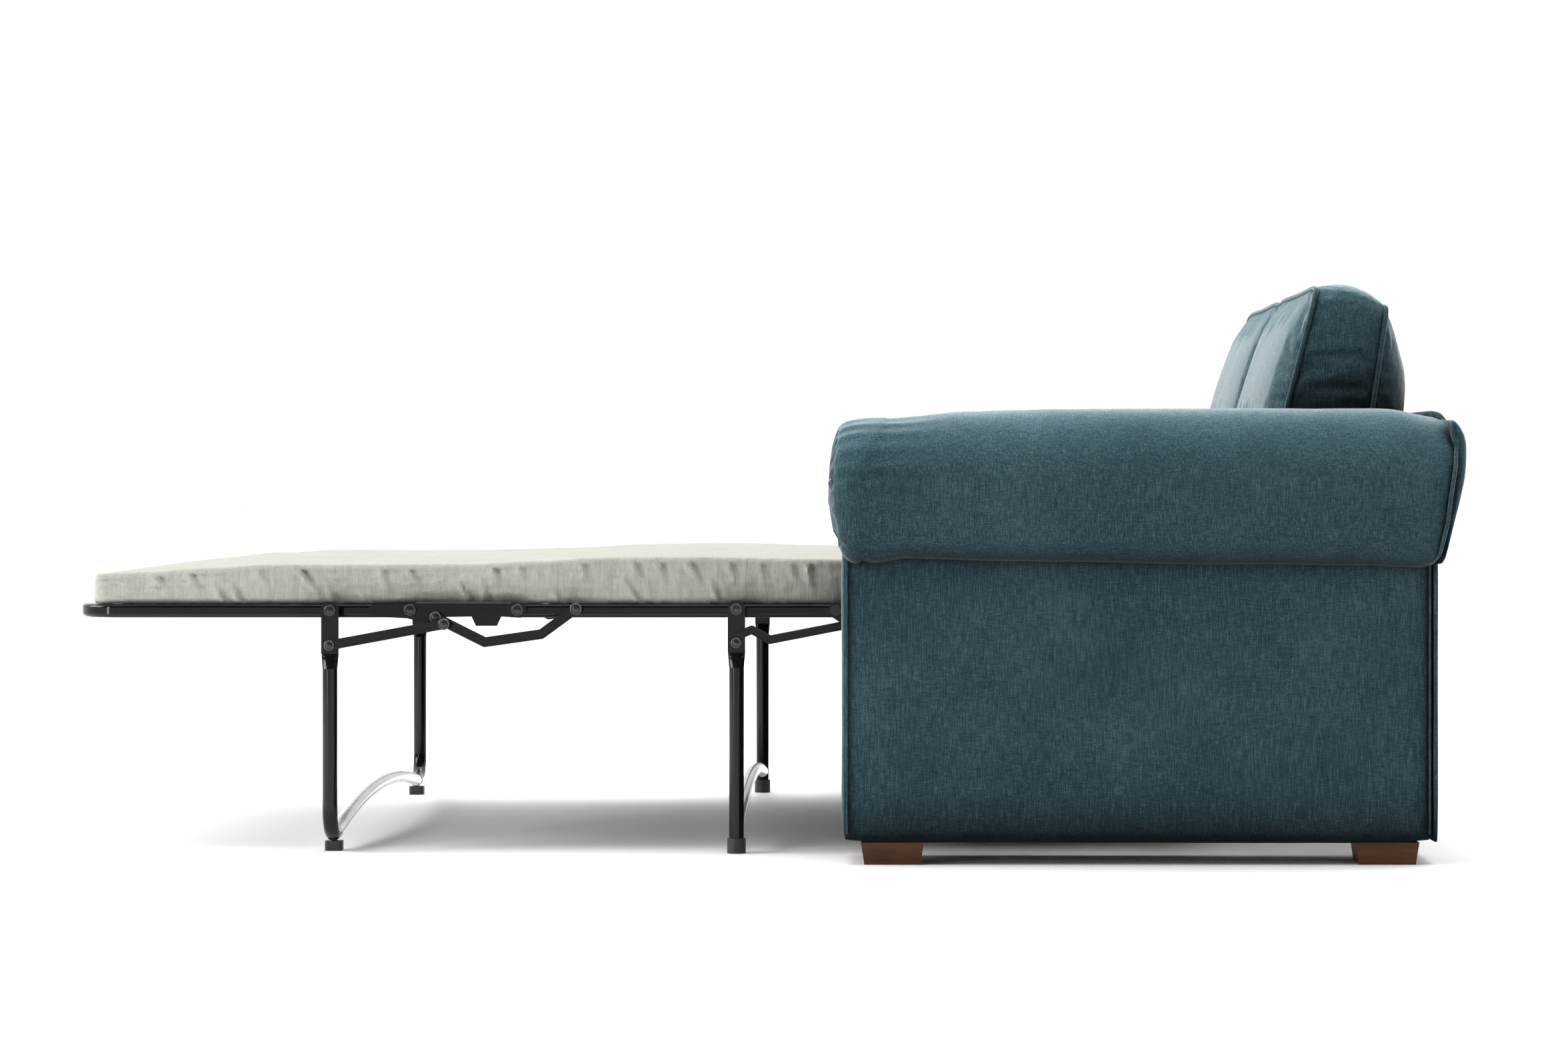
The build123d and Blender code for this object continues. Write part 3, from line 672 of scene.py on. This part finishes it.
def edge_line(spots, offset):
    """The route moved sideways by offset, mitred at its bends and cut short at both ends."""
    line = []
    for i, spot in enumerate(spots):
        ways = []
        if i:
            ways.append((spot - spots[i - 1]).normalized())
        if i < len(spots) - 1:
            ways.append((spots[i + 1] - spot).normalized())
        along = sum(ways, Vector((0, 0))).normalized()
        cross = Vector((-along.y, along.x))
        line.append(spot + cross * offset / max(0.5, along.dot(ways[0])))
    line[0] += (line[1] - line[0]).normalized() * RIB_TRIM
    line[-1] += (line[-2] - line[-1]).normalized() * RIB_TRIM
    return line


def rib_lines(name, route, half, x_face, body):
    """Two pressed ribs along a flat strap, one near each edge, on both sides of the bed."""
    spots = [Vector(yz(*station)) for station in route]
    for edge, offset in (("low", -half), ("high", half)):
        line = edge_line(spots, offset)
        for side, sign in SIDES:
            points = [(sign * x_face, q.x, q.y) for q in line]
            welt(f"{name}_rib_{edge}_{side}", points, RIB_RADIUS, body, material=BLACK)


def from_joint(name, offsets):
    """Stations of a route that is given as (forward, up) steps in millimetres from a joint."""
    f, z = joint_station(name)
    return [(f + forward, z + up) for forward, up in offsets]


V_LINK_ROUTE = from_joint("v_link_swing", [(226, -14), (199, -28), (147, -54), (56, -41), (0, 0)])
BRACE_1_ROUTE = from_joint("brace_1_swing", [(0, 0), (-184, 34)])
BRACE_2_ROUTE = from_joint("brace_2_swing", [(0, 0), (-10, 15), (-25, 21), (-40, 13), (-54, 5),
                                             (-167, 27), (-186, 33)])
WIDE_RIB, NARROW_RIB = 0.0056, 0.0048
V_LINK_THICK = 0.004
V_LINK_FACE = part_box("v_link_right")[0].x + V_LINK_THICK
BRACE_FACE = outer_x("brace_1_right")
LEG_FACE = outer_x("leg_1_tube_right")
PIN_FACE = outer_x("foot_pins")
PLATE_FACE = outer_x("hinge_plate_right")

rib_lines("v_link", V_LINK_ROUTE, WIDE_RIB, V_LINK_FACE, "v_links")
rib_lines("brace_1", BRACE_1_ROUTE, WIDE_RIB, BRACE_FACE, "braces_1")
rib_lines("brace_2", BRACE_2_ROUTE, NARROW_RIB, BRACE_FACE, "braces_2")
dome("rivet_plate_rear", joint_station("plate_fold"), PLATE_FACE, 0.0098, 0.0008, "middle_section")
dome("rivet_plate_front", joint_station("foot_fold"), PLATE_FACE, 0.0098, 0.0008, "foot_section")
dome("rivet_link_rear", joint_station("v_link_swing"), V_LINK_FACE + 0.0030, 0.0098, 0.0016, "middle_section")
dome("rivet_leg_1", joint_station("leg_1_fold"), PIN_FACE, 0.0092, 0.0006, "foot_section")
dome("rivet_leg_2", joint_station("leg_2_fold"), PIN_FACE, 0.0092, 0.0006, "middle_section")
dome("rivet_brace_1", joint_station("brace_1_swing"), LEG_FACE, 0.0086, 0.0014, "leg_hoop_1")
dome("rivet_brace_2", joint_station("brace_2_swing"), LEG_FACE, 0.0086, 0.0014, "leg_hoop_2")
dome("rivet_brace_1_rear", BRACE_1_ROUTE[-1], BRACE_FACE, 0.0092, 0.0020, "braces_1")
dome("rivet_link_front", V_LINK_ROUTE[0], V_LINK_FACE + 0.0027, 0.0096, 0.0014, "v_links")


def plate_beads():
    """A rounded edge along the outer flange of each hinge plate, in the lighter rivet finish as a painted
    highlight line.
    """
    for side, sign in SIDES:
        low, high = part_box(f"hinge_plate_{side}")
        x = high.x - 0.0008 if sign > 0 else low.x + 0.0008
        length = high.y - low.y - 2 * BEAD_END
        points = [(x, low.y + BEAD_END + length * i / 12, high.z - 0.0010) for i in range(13)]
        # the lighter rivet finish on this black plate edge paints a highlight line; the rounded edge also
        # catches real highlights
        welt(f"plate_flange_highlight_bead_{side}", points, BEAD_RADIUS, "hinge_plates",
             material=RIVET)


plate_beads()


# ------------------------------------------------------------------ rolled arms
ROLL_LO, ROLL_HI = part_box("arm_roll_right")
ROLL_CX = (ROLL_LO.x + ROLL_HI.x) / 2
ROLL_CZ = (ROLL_LO.z + ROLL_HI.z) / 2
ROLL_HX = (ROLL_HI.x - ROLL_LO.x) / 2
ROLL_HZ = (ROLL_HI.z - ROLL_LO.z) / 2
ROLL_AROUND = 144
ROLL_ANGLES = [2 * math.pi * j / ROLL_AROUND for j in range(ROLL_AROUND)]
# (height, station) down the rear end and the front face
ROLL_REAR = [(463, -873), (484, -887), (534, -898), (578, -903), (621, -910), (654, -913),
             (687, -909), (708, -902)]
ROLL_FRONT = [(463, 36), (481, 44), (500, 50), (507, 46), (517, 53), (569, 61), (620, 59),
              (672, 53), (707, 45)]
# the section's corners are a little squarer low on the outside
ROLL_POWER, ROLL_LOW_SQUARE = 0.94, 0.40
# share of the section that the flat face takes up, and how far its rim sits back
FACE_SHARE = 0.80
FACE_DISH = 0.008
NOSE_DROOP = 0.009
TAIL_DROOP = 0.013
FACE_PLEAT, RIM_PLEAT, SHOULDER_PLEAT, BODY_PLEAT = 0.0032, 0.002, 0.0034, 0.0017
SHOULDER_STEPS = 12
BODY_STEPS = 120


def along_table(table, value):
    """Value from a table of (key, value) pairs, in straight lines between them."""
    if value <= table[0][0]:
        return table[0][1]
    for (k0, v0), (k1, v1) in zip(table, table[1:]):
        if value <= k1:
            return v0 + (v1 - v0) * (value - k0) / (k1 - k0)
    return table[-1][1]


def roll_rear_y(z):
    """The roll's rear end bulges and leans with the back."""
    return Y_FRONT - along_table(ROLL_REAR, z / MM) * MM


def roll_point(a, k):
    """Point of the roll's section at angle a, shrunk by k; fuller low on the outside."""
    c, s = math.cos(a), math.sin(a)
    power = ROLL_POWER
    if c > 0 and s < 0:
        power -= ROLL_LOW_SQUARE * smooth(min(c, -s) / 0.55)
    x = ROLL_CX + ROLL_HX * k * math.copysign(abs(c) ** power, c)
    z = ROLL_CZ + ROLL_HZ * k * math.copysign(abs(s) ** power, s)
    return Vector((x, 0.0, z))


def gather(a):
    """Depth of the pleats round the roll's face, as a swing of plus or minus one."""
    wave = 24 * a + 4 * wander(math.cos(a), math.sin(a), 0, 2.0, 4.0)
    return math.sin(wave) * (0.55 + 0.9 * abs(wander(math.cos(a), math.sin(a), 1, 3.0, 11.0)))


def face_front(z):
    """Place of the roll's front face at height z, before its pleats and dish."""
    return Y_FRONT - along_table(ROLL_FRONT, z / MM) * MM


def shoulder_radius(lift):
    """How far the rounded edge of the face runs back: more at the top, less at the bottom."""
    return 0.040 + (0.030 if lift > 0 else 0.016) * lift


def roll_face():
    """Rings of the pleated front face, from its middle out to its rim."""
    rings = []
    for k in (0.02, 0.1, 0.2, 0.3, 0.4, 0.5, 0.58, 0.66, 0.72, 0.76, FACE_SHARE):
        ring = []
        for a in ROLL_ANGLES:
            p = roll_point(a, k)
            pleat = FACE_PLEAT * gather(a) * smooth((k - 0.25) / 0.4)
            p.y = face_front(p.z) + FACE_DISH * (k / FACE_SHARE) ** 3 + pleat
            ring.append(p)
        rings.append(ring)
    return rings


def roll_shoulder():
    """Rings of the rounded edge between the face and the body."""
    rings = []
    for i in range(1, SHOULDER_STEPS + 1):
        turn = i / SHOULDER_STEPS * math.pi / 2
        fade = (1 - i / SHOULDER_STEPS) ** 0.7
        ring = []
        for a in ROLL_ANGLES:
            lift = math.sin(a)
            k = FACE_SHARE + (1 - FACE_SHARE) * math.sin(turn)
            p = roll_point(a, k)
            rim_y = face_front(roll_point(a, FACE_SHARE).z) + FACE_DISH
            p.y = rim_y + shoulder_radius(lift) * (1 - math.cos(turn)) + RIM_PLEAT * gather(a) * fade
            p.z -= NOSE_DROOP * max(0.0, lift) ** 2 * (k - FACE_SHARE) / (1 - FACE_SHARE)
            ring.append(p + radial(a) * SHOULDER_PLEAT * gather(a) * fade)
        rings.append(ring)
    return rings


def roll_body():
    """Rings along the roll, from the shoulder to the rear end."""
    rings = []
    for i in range(1, BODY_STEPS + 1):
        t = i / BODY_STEPS
        ring = []
        for a in ROLL_ANGLES:
            up, down = max(0.0, math.sin(a)) ** 2, max(0.0, -math.sin(a)) ** 2
            p = roll_point(a, 1.0)
            rim_y = face_front(roll_point(a, FACE_SHARE).z) + FACE_DISH
            start_y = rim_y + shoulder_radius(math.sin(a))
            p.y = start_y + (roll_rear_y(p.z) - start_y) * t
            swell = 0.0026 * wander(*p, 5.0, 1.7) + 0.0010 * wander(*p, 17.0, 8.1)
            droop = -TAIL_DROOP * smooth((t - 0.90) / 0.10) * up
            tuck = -0.004 * max(0.0, 1 - (1 - t) * 60)
            crease = BODY_PLEAT * gather(a) * max(0.0, 1 - t / 0.12)
            crown = (0.005 * smooth(t / 0.35) - NOSE_DROOP * (1 - smooth(t / 0.15))) * up
            hang = (0.008 - 0.016 * t - 0.010 * max(0.0, 1 - abs(t - 0.03) / 0.05)) * down
            p.z += crown + hang
            ring.append(p + radial(a) * (swell - 0.0012 + droop + tuck + crease))
        rings.append(ring)
    return rings


def roll_tail():
    """Rings that close the rear end."""
    rings = []
    for k in (0.94, 0.8, 0.4, 0.05):
        points = [(roll_point(a, k), max(0.0, math.sin(a))) for a in ROLL_ANGLES]
        rings.append([Vector((p.x, roll_rear_y(p.z) + 0.0015, p.z - 0.006 * lift)) for p, lift in points])
    return rings


def roll_mesh():
    rings = roll_face() + roll_shoulder() + roll_body() + roll_tail()
    verts = [p for ring in rings for p in ring]
    return verts, rings_to_faces(len(rings), ROLL_AROUND)


def roll_seam(sign):
    """The corded seam round the outboard half of the roll's rear end."""
    points = []
    for i in range(61):
        a = math.radians(-84 + 174 * i / 60)
        p = roll_point(a, 1.0)
        q = p + radial(a) * (-TAIL_DROOP * max(0.0, math.sin(a)) ** 2 - 0.002)
        points.append((sign * q.x, roll_rear_y(p.z) + 0.001, q.z))
    return points


def build_arms():
    verts, faces = roll_mesh()
    right = mesh_object("arm_roll_soft_right", verts, faces, CHENILLE)
    left = mirror_mesh(right, "arm_roll_soft_left")
    for obj, (side, sign) in zip((right, left), SIDES):
        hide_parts(f"arm_roll_{side}")
        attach(obj, "sofa")
        welt(f"arm_roll_rear_seam_{side}", roll_seam(sign), 0.0032, "sofa")


build_arms()


SLAB_CUTS = 24


def rounded_slab(name, lo, hi, radius, puff):
    """Upholstered slab with soft edges and a slight swell on its broad faces."""
    bm = bmesh.new()
    bmesh.ops.create_cube(bm, size=2.0)
    bmesh.ops.subdivide_edges(bm, edges=bm.edges, cuts=SLAB_CUTS, use_grid_fill=True)
    size = (hi - lo) / 2
    mid = (hi + lo) / 2
    for v in bm.verts:
        q = Vector((v.co.x * size.x, v.co.y * size.y, v.co.z * size.z))
        inner = Vector([max(-s + radius, min(s - radius, c)) if s > radius else 0.0 for s, c in zip(size, q)])
        away = q - inner
        n = away.normalized() if away.length > 1e-9 else Vector((0, 0, 0))
        p = inner + n * min(radius, min(size))
        spread = [1 - abs(p[i]) / size[i] for i in range(3)]
        axis = max(range(3), key=lambda i: abs(n[i]))
        others = [spread[i] for i in range(3) if i != axis]
        swell = puff * smooth(others[0] / 0.25) * smooth(others[1] / 0.25)
        swell += 0.0008 * wander(p.x, p.y, p.z, 7.0, 2.2)
        v.co = mid + p + n * (swell - puff * 0.4)
    mesh = bpy.data.meshes.new(name)
    bm.to_mesh(mesh)
    bm.free()
    mesh.materials.append(CHENILLE)
    mesh.shade_smooth()
    return add_object(name, mesh)


PANEL_INTO_ROLL = 0.060


def build_panels():
    """Flat side panels under the rolls, cut off where the roll sits."""
    lo = Vector((PANEL_LO.x, PANEL_LO.y - 0.003, PANEL_LO.z))
    hi = Vector((PANEL_HI.x, PANEL_HI.y, ROLL_LO.z + PANEL_INTO_ROLL))
    right = rounded_slab("arm_panel_soft_right", lo, hi, 0.011, 0.003)
    left = mirror_mesh(right, "arm_panel_soft_left")
    for obj, (side, sign) in zip((right, left), SIDES):
        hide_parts(f"arm_panel_{side}")
        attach(obj, "sofa")
        x = sign * (PANEL_HI.x - 0.0010)
        low, high = PANEL_LO.z + 0.014, ROLL_LO.z + 0.012
        for name, y in (("front", PANEL_LO.y + 0.0040), ("rear", PANEL_HI.y - 0.0035)):
            points = [(x, y, low + (high - low) * i / 20) for i in range(21)]
            welt(f"panel_{name}_seam_{side}", points, 0.0018, "sofa")


build_panels()


def build_front_rail():
    lo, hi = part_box("front_rail")
    rail = rounded_slab("front_rail_soft", lo, hi, 0.010, 0.001)
    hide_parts("front_rail")
    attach(rail, "sofa")


build_front_rail()


# ------------------------------------------------------------------ back
SCROLL_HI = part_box("back_scroll")[1]
# (station, height) round the scroll's section between the arms, and round the lip behind each arm
SCROLL_SECTION = [(-882, 464), (-882, 600), (-866, 610), (-863, 660), (-864, 686), (-874, 701), (-888, 708),
                  (-903, 711), (-917, 708), (-927, 697), (-931, 678), (-932, 656), (-932, 630), (-929, 600),
                  (-920, 560), (-909, 522), (-899, 492), (-890, 464)]
LIP_SECTION = [(-889, 468), (-890, 488), (-896, 534), (-901, 578), (-908, 621), (-911, 654), (-908, 676),
               (-906, 688), (-908, 694), (-914, 692), (-922, 683), (-929, 670), (-932, 656), (-932, 630),
               (-930, 604), (-920, 560), (-905, 508), (-893, 472)]
SCROLL_STEPS = 60
LIP_STEPS = 22
LIP_END = 0.9
SCROLL_EDGE = math.radians(50)
BACK_UNDER_SCROLL = 0.036


def section(points, x):
    """A closed section at x, with a point added half way along each side."""
    ring = []
    for (f0, z0), (f1, z1) in zip(points, points[1:] + points[:1]):
        for t in (0.0, 0.5):
            ring.append(Vector((x, *yz(f0 + (f1 - f0) * t, z0 + (z1 - z0) * t))))
    return ring


def scroll_mesh(inner_x):
    """The full section between the arms, with a slight waver."""
    verts = []
    for i in range(SCROLL_STEPS + 1):
        ring = section(SCROLL_SECTION, -inner_x + 2 * inner_x * i / SCROLL_STEPS)
        verts += [p + Vector((0, 0.0015 * wander(*p, 5.0, 6.0), 0)) for p in ring]
    return verts, rings_to_faces(SCROLL_STEPS + 1, len(ring))


def lip_mesh(inner_x, outer_end):
    """The lip behind one arm, rounded off at its outer end."""
    verts = []
    for i in range(LIP_STEPS + 1):
        t = i / LIP_STEPS
        ring = section(LIP_SECTION, inner_x + (outer_end - inner_x) * t)
        middle = sum(ring, Vector()) / len(ring)
        deep = 1.0
        if t > LIP_END:
            deep = 0.55 + 0.45 * math.sqrt(max(0.0, 1 - ((t - LIP_END) / (1 - LIP_END)) ** 2))
        squeeze = Vector((1, deep, 0.9 + 0.1 * deep))
        verts += [middle + (p - middle) * squeeze for p in ring]
    return verts, rings_to_faces(LIP_STEPS + 1, len(ring))


def build_back():
    """Rounded top of the outer back between the arms, its lips behind them, and the panel below."""
    inner_x = PANEL_LO.x - 0.001
    verts, faces = scroll_mesh(inner_x)
    centre = mesh_object("back_scroll_soft", verts, faces, CHENILLE, sharp=SCROLL_EDGE)
    refine(centre)
    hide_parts("back_scroll")
    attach(centre, "sofa")
    verts, faces = lip_mesh(inner_x, SCROLL_HI.x)
    right = mesh_object("back_scroll_lip_right", verts, faces, CHENILLE, sharp=SCROLL_EDGE)
    refine(right)
    left = mirror_mesh(right, "back_scroll_lip_left")
    for obj in (right, left):
        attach(obj, "sofa")
    lo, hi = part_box("outer_back")
    hi = Vector((hi.x, hi.y, hi.z + BACK_UNDER_SCROLL))
    panel = rounded_slab("outer_back_soft", lo, hi, 0.004, 0.001)
    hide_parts("outer_back")
    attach(panel, "sofa")


build_back()


# ------------------------------------------------------------------ back cushions
CUSH_LO, CUSH_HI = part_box("back_cushion_right")
# seam lines of the boxed border, as (station, height): front seam and rear seam
FRONT_TOP, FRONT_LOW = (-721, 912), (-640, 597)
REAR_TOP, REAR_LOW = (-832, 882), (-790, 597)
FRONT_CROWN = 0.032
REAR_CROWN = 0.062
# share of the face's height at which the crown is fullest
CROWN_PEAK = 0.36
CUSH_COLUMNS, CUSH_ROWS, BORDER_STRIPS = 44, 28, 12
CUSH_X0 = CUSH_LO.x + 0.004
CUSH_X1 = CUSH_HI.x - 0.006
CUSH_MID_Z = 0.75


def seam_point(top, low, down):
    """Point on a seam line, from its top (down = 0) to its foot (down = 1)."""
    f = top[0] + (low[0] - top[0]) * down
    z = top[1] + (low[1] - top[1]) * down
    return yz(f, z)


def face_grid(top, low, crown, outward):
    """Crowned panel between its seams; outward is -1 for the front, +1 for the rear."""
    rows = []
    for i in range(CUSH_ROWS + 1):
        row = []
        for j in range(CUSH_COLUMNS + 1):
            h, v = 2 * j / CUSH_COLUMNS - 1, 2 * i / CUSH_ROWS - 1
            corner = abs(h) ** 7 * abs(v) ** 7
            s = 0.5 + 0.5 * h * (1 - 0.045 * corner - 0.010 * (1 - v * v) * abs(h) ** 3)
            u = 0.5 + 0.5 * v * (1 - 0.060 * corner)
            x = CUSH_X0 + (CUSH_X1 - CUSH_X0) * s
            y, z = seam_point(top, low, 1 - u)
            across = max(0.0, 1 - abs(h) ** 3.4) ** 0.60
            w = i / CUSH_ROWS
            w = w / CROWN_PEAK if w < CROWN_PEAK else (1 - w) / (1 - CROWN_PEAK)
            up = max(0.0, 1 - (1 - w) ** 2.1) ** 0.80
            sag = 0.004 * (1 - h * h) * max(0.0, v) ** 6
            row.append(Vector((x, y + outward * crown * across * up, z - sag)))
        rows.append(row)
    return rows


def seam_loop(rows):
    """The points round the edge of a panel."""
    loop = list(rows[-1]) + [r[-1] for r in reversed(rows[1:-1])] + list(reversed(rows[0]))
    return loop + [r[0] for r in rows[1:-1]]


def seam_outs(loop_f, loop_r):
    """Unit vectors out of the border, one at each point round its seams."""
    n = len(loop_f)
    outs = []
    for i in range(n):
        along = loop_f[(i + 2) % n] - loop_f[i - 2] + loop_r[(i + 2) % n] - loop_r[i - 2]
        out = along.cross(loop_r[i] - loop_f[i]).normalized()
        centre = Vector(((CUSH_X0 + CUSH_X1) / 2, loop_f[i].y, CUSH_MID_Z))
        outs.append(out if out.dot(loop_f[i] - centre) > 0 else -out)
    return outs


def border_rows(loop_f, loop_r):
    """The boxed border between the two seams, swollen most along the top."""
    outs = seam_outs(loop_f, loop_r)
    rows = []
    for k in range(BORDER_STRIPS + 1):
        t = k / BORDER_STRIPS
        belly = max(0.0, math.sin(math.pi * t)) ** 0.75
        row = []
        for front, rear, out in zip(loop_f, loop_r, outs):
            swell = 0.004 + 0.012 * max(0.0, out.z) ** 1.5 - 0.003 * max(0.0, -out.z)
            row.append(front.lerp(rear, t) + out * swell * belly)
        rows.append(row)
    return rows


def cushion_mesh():
    """Points and faces of one cushion, and the loops of its front and rear seams."""
    front = face_grid(FRONT_TOP, FRONT_LOW, FRONT_CROWN, -1)
    rear = face_grid(REAR_TOP, REAR_LOW, REAR_CROWN, 1)
    loops = [seam_loop(front), seam_loop(rear)]
    verts, faces = [], []
    for rows, wrap in ((front, False), (rear, False), (border_rows(*loops), True)):
        start, width = len(verts), len(rows[0])
        verts.extend(p for row in rows for p in row)
        for i in range(len(rows) - 1):
            for j in range(width if wrap else width - 1):
                k = (j + 1) % width
                a, b = start + i * width, start + (i + 1) * width
                faces.append((a + j, a + k, b + k, b + j))
    return verts, faces, loops


def near_loops(loops, reach):
    """A function that says how firmly a point is held: 1 on a seam, 0 beyond reach."""
    points = []
    for loop in loops:
        for a, b in zip(loop, loop[1:] + loop[:1]):
            points += [a.lerp(b, t / 3) for t in range(3)]
    tree = KDTree(len(points))
    for i, p in enumerate(points):
        tree.insert(p, i)
    tree.balance()

    def hold(co):
        d = tree.find(co)[2]
        return 1.0 if d < reach else 0.0

    return hold


def build_cushions():
    verts, faces, loops = cushion_mesh()
    right = mesh_object("back_cushion_soft_right", verts, faces, CHENILLE)
    inflate(right, near_loops(loops, 0.006))
    for v in right.data.vertices:
        p = v.co
        drag = wander(*p, 14.0, 9.0)
        v.co += Vector((0, 0.0012 * drag, 0.0008 * drag))
    refine(right)
    left = mirror_mesh(right, "back_cushion_soft_left")
    for obj, (side, sign) in zip((right, left), SIDES):
        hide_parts(f"back_cushion_{side}")
        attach(obj, "sofa")
        for which, loop in zip(("front", "rear"), loops):
            points = [(sign * p.x, p.y, p.z) for p in loop]
            welt(f"cushion_{which}_welt_{side}", points, 0.0042, "sofa", closed=True)


build_cushions()


# ------------------------------------------------------------------ set, camera, light
def build_world():
    """White all round, brighter overhead and dim on the near side."""
    world = bpy.context.scene.world or bpy.data.worlds.new("World")
    bpy.context.scene.world = world
    world.use_nodes = True
    nodes, links = world.node_tree.nodes, world.node_tree.links
    coords = nodes.new("ShaderNodeTexCoord")
    split = nodes.new("ShaderNodeSeparateXYZ")
    links.new(coords.outputs["Generated"], split.inputs["Vector"])
    near = remap(nodes, links, split.outputs["X"], -0.1, 0.58, 1.02, 0.03)
    near.interpolation_type = "SMOOTHSTEP"
    up = math_node(nodes, links, "ADD", math_node(nodes, links, "MULTIPLY", split.outputs["Z"], 2.3), 1.0)
    level = math_node(nodes, links, "MULTIPLY", near.outputs["Result"], up)
    back = nodes["Background"]
    back.inputs["Color"].default_value = (1, 1, 1, 1)
    links.new(level, back.inputs["Strength"])


def build_stage():
    mesh = bpy.data.meshes.new("floor")
    mesh.from_pydata([(-60, -60, 0), (20, -60, 0), (20, 60, 0), (-60, 60, 0)], [], [(0, 1, 2, 3)])
    floor = add_object("floor", mesh)
    m, _, _, shader = new_material("floor_paper")
    shader.inputs["Base Color"].default_value = (0.76, 0.76, 0.76, 1)
    shader.inputs["Roughness"].default_value = 0.9
    mesh.materials.append(m)


def area_light(name, place, target, size, power):
    light = bpy.data.lights.new(name, "AREA")
    light.shape = "RECTANGLE"
    light.size, light.size_y = size
    light.energy = power
    obj = add_object(name, light)
    obj.location = place
    obj.rotation_euler = (Vector(target) - Vector(place)).to_track_quat("-Z", "Y").to_euler()


def build_lights():
    area_light("overhead", (-0.6, 0.2, 3.4), (0, 0.2, 0.4), (3.0, 4.4), 185)
    area_light("front_side", (1.4, -4.6, 2.3), (0.3, 0.6, 0.5), (3.2, 2.4), 275)
    area_light("near_strip", (4.6, -3.4, 1.0), (0, 0, 0.4), (0.34, 2.4), 58)
    area_light("near_strip_right", (4.8, 3.2, 1.0), (0, 0, 0.4), (0.28, 2.4), 26)


CAMERA_AWAY = 6.5
CAMERA_BEHIND_LINE = 0.055
CAMERA_HEIGHT = 0.621


def build_camera():
    """Level view square on to the side, shifted to frame the whole bed."""
    camera = bpy.data.cameras.new("camera")
    camera.sensor_width = 36.0
    camera.lens = 96.6
    camera.shift_x = -0.0753
    camera.shift_y = -0.0357
    camera.clip_end = 60
    obj = add_object("camera", camera)
    obj.location = (ROLL_HI.x + CAMERA_AWAY, Y_FRONT + CAMERA_BEHIND_LINE, CAMERA_HEIGHT)
    obj.rotation_euler = (math.radians(90), 0, math.radians(90))
    bpy.context.scene.camera = obj


build_world()
build_stage()
build_lights()
build_camera()
bpy.context.scene.view_settings.view_transform = "Standard"
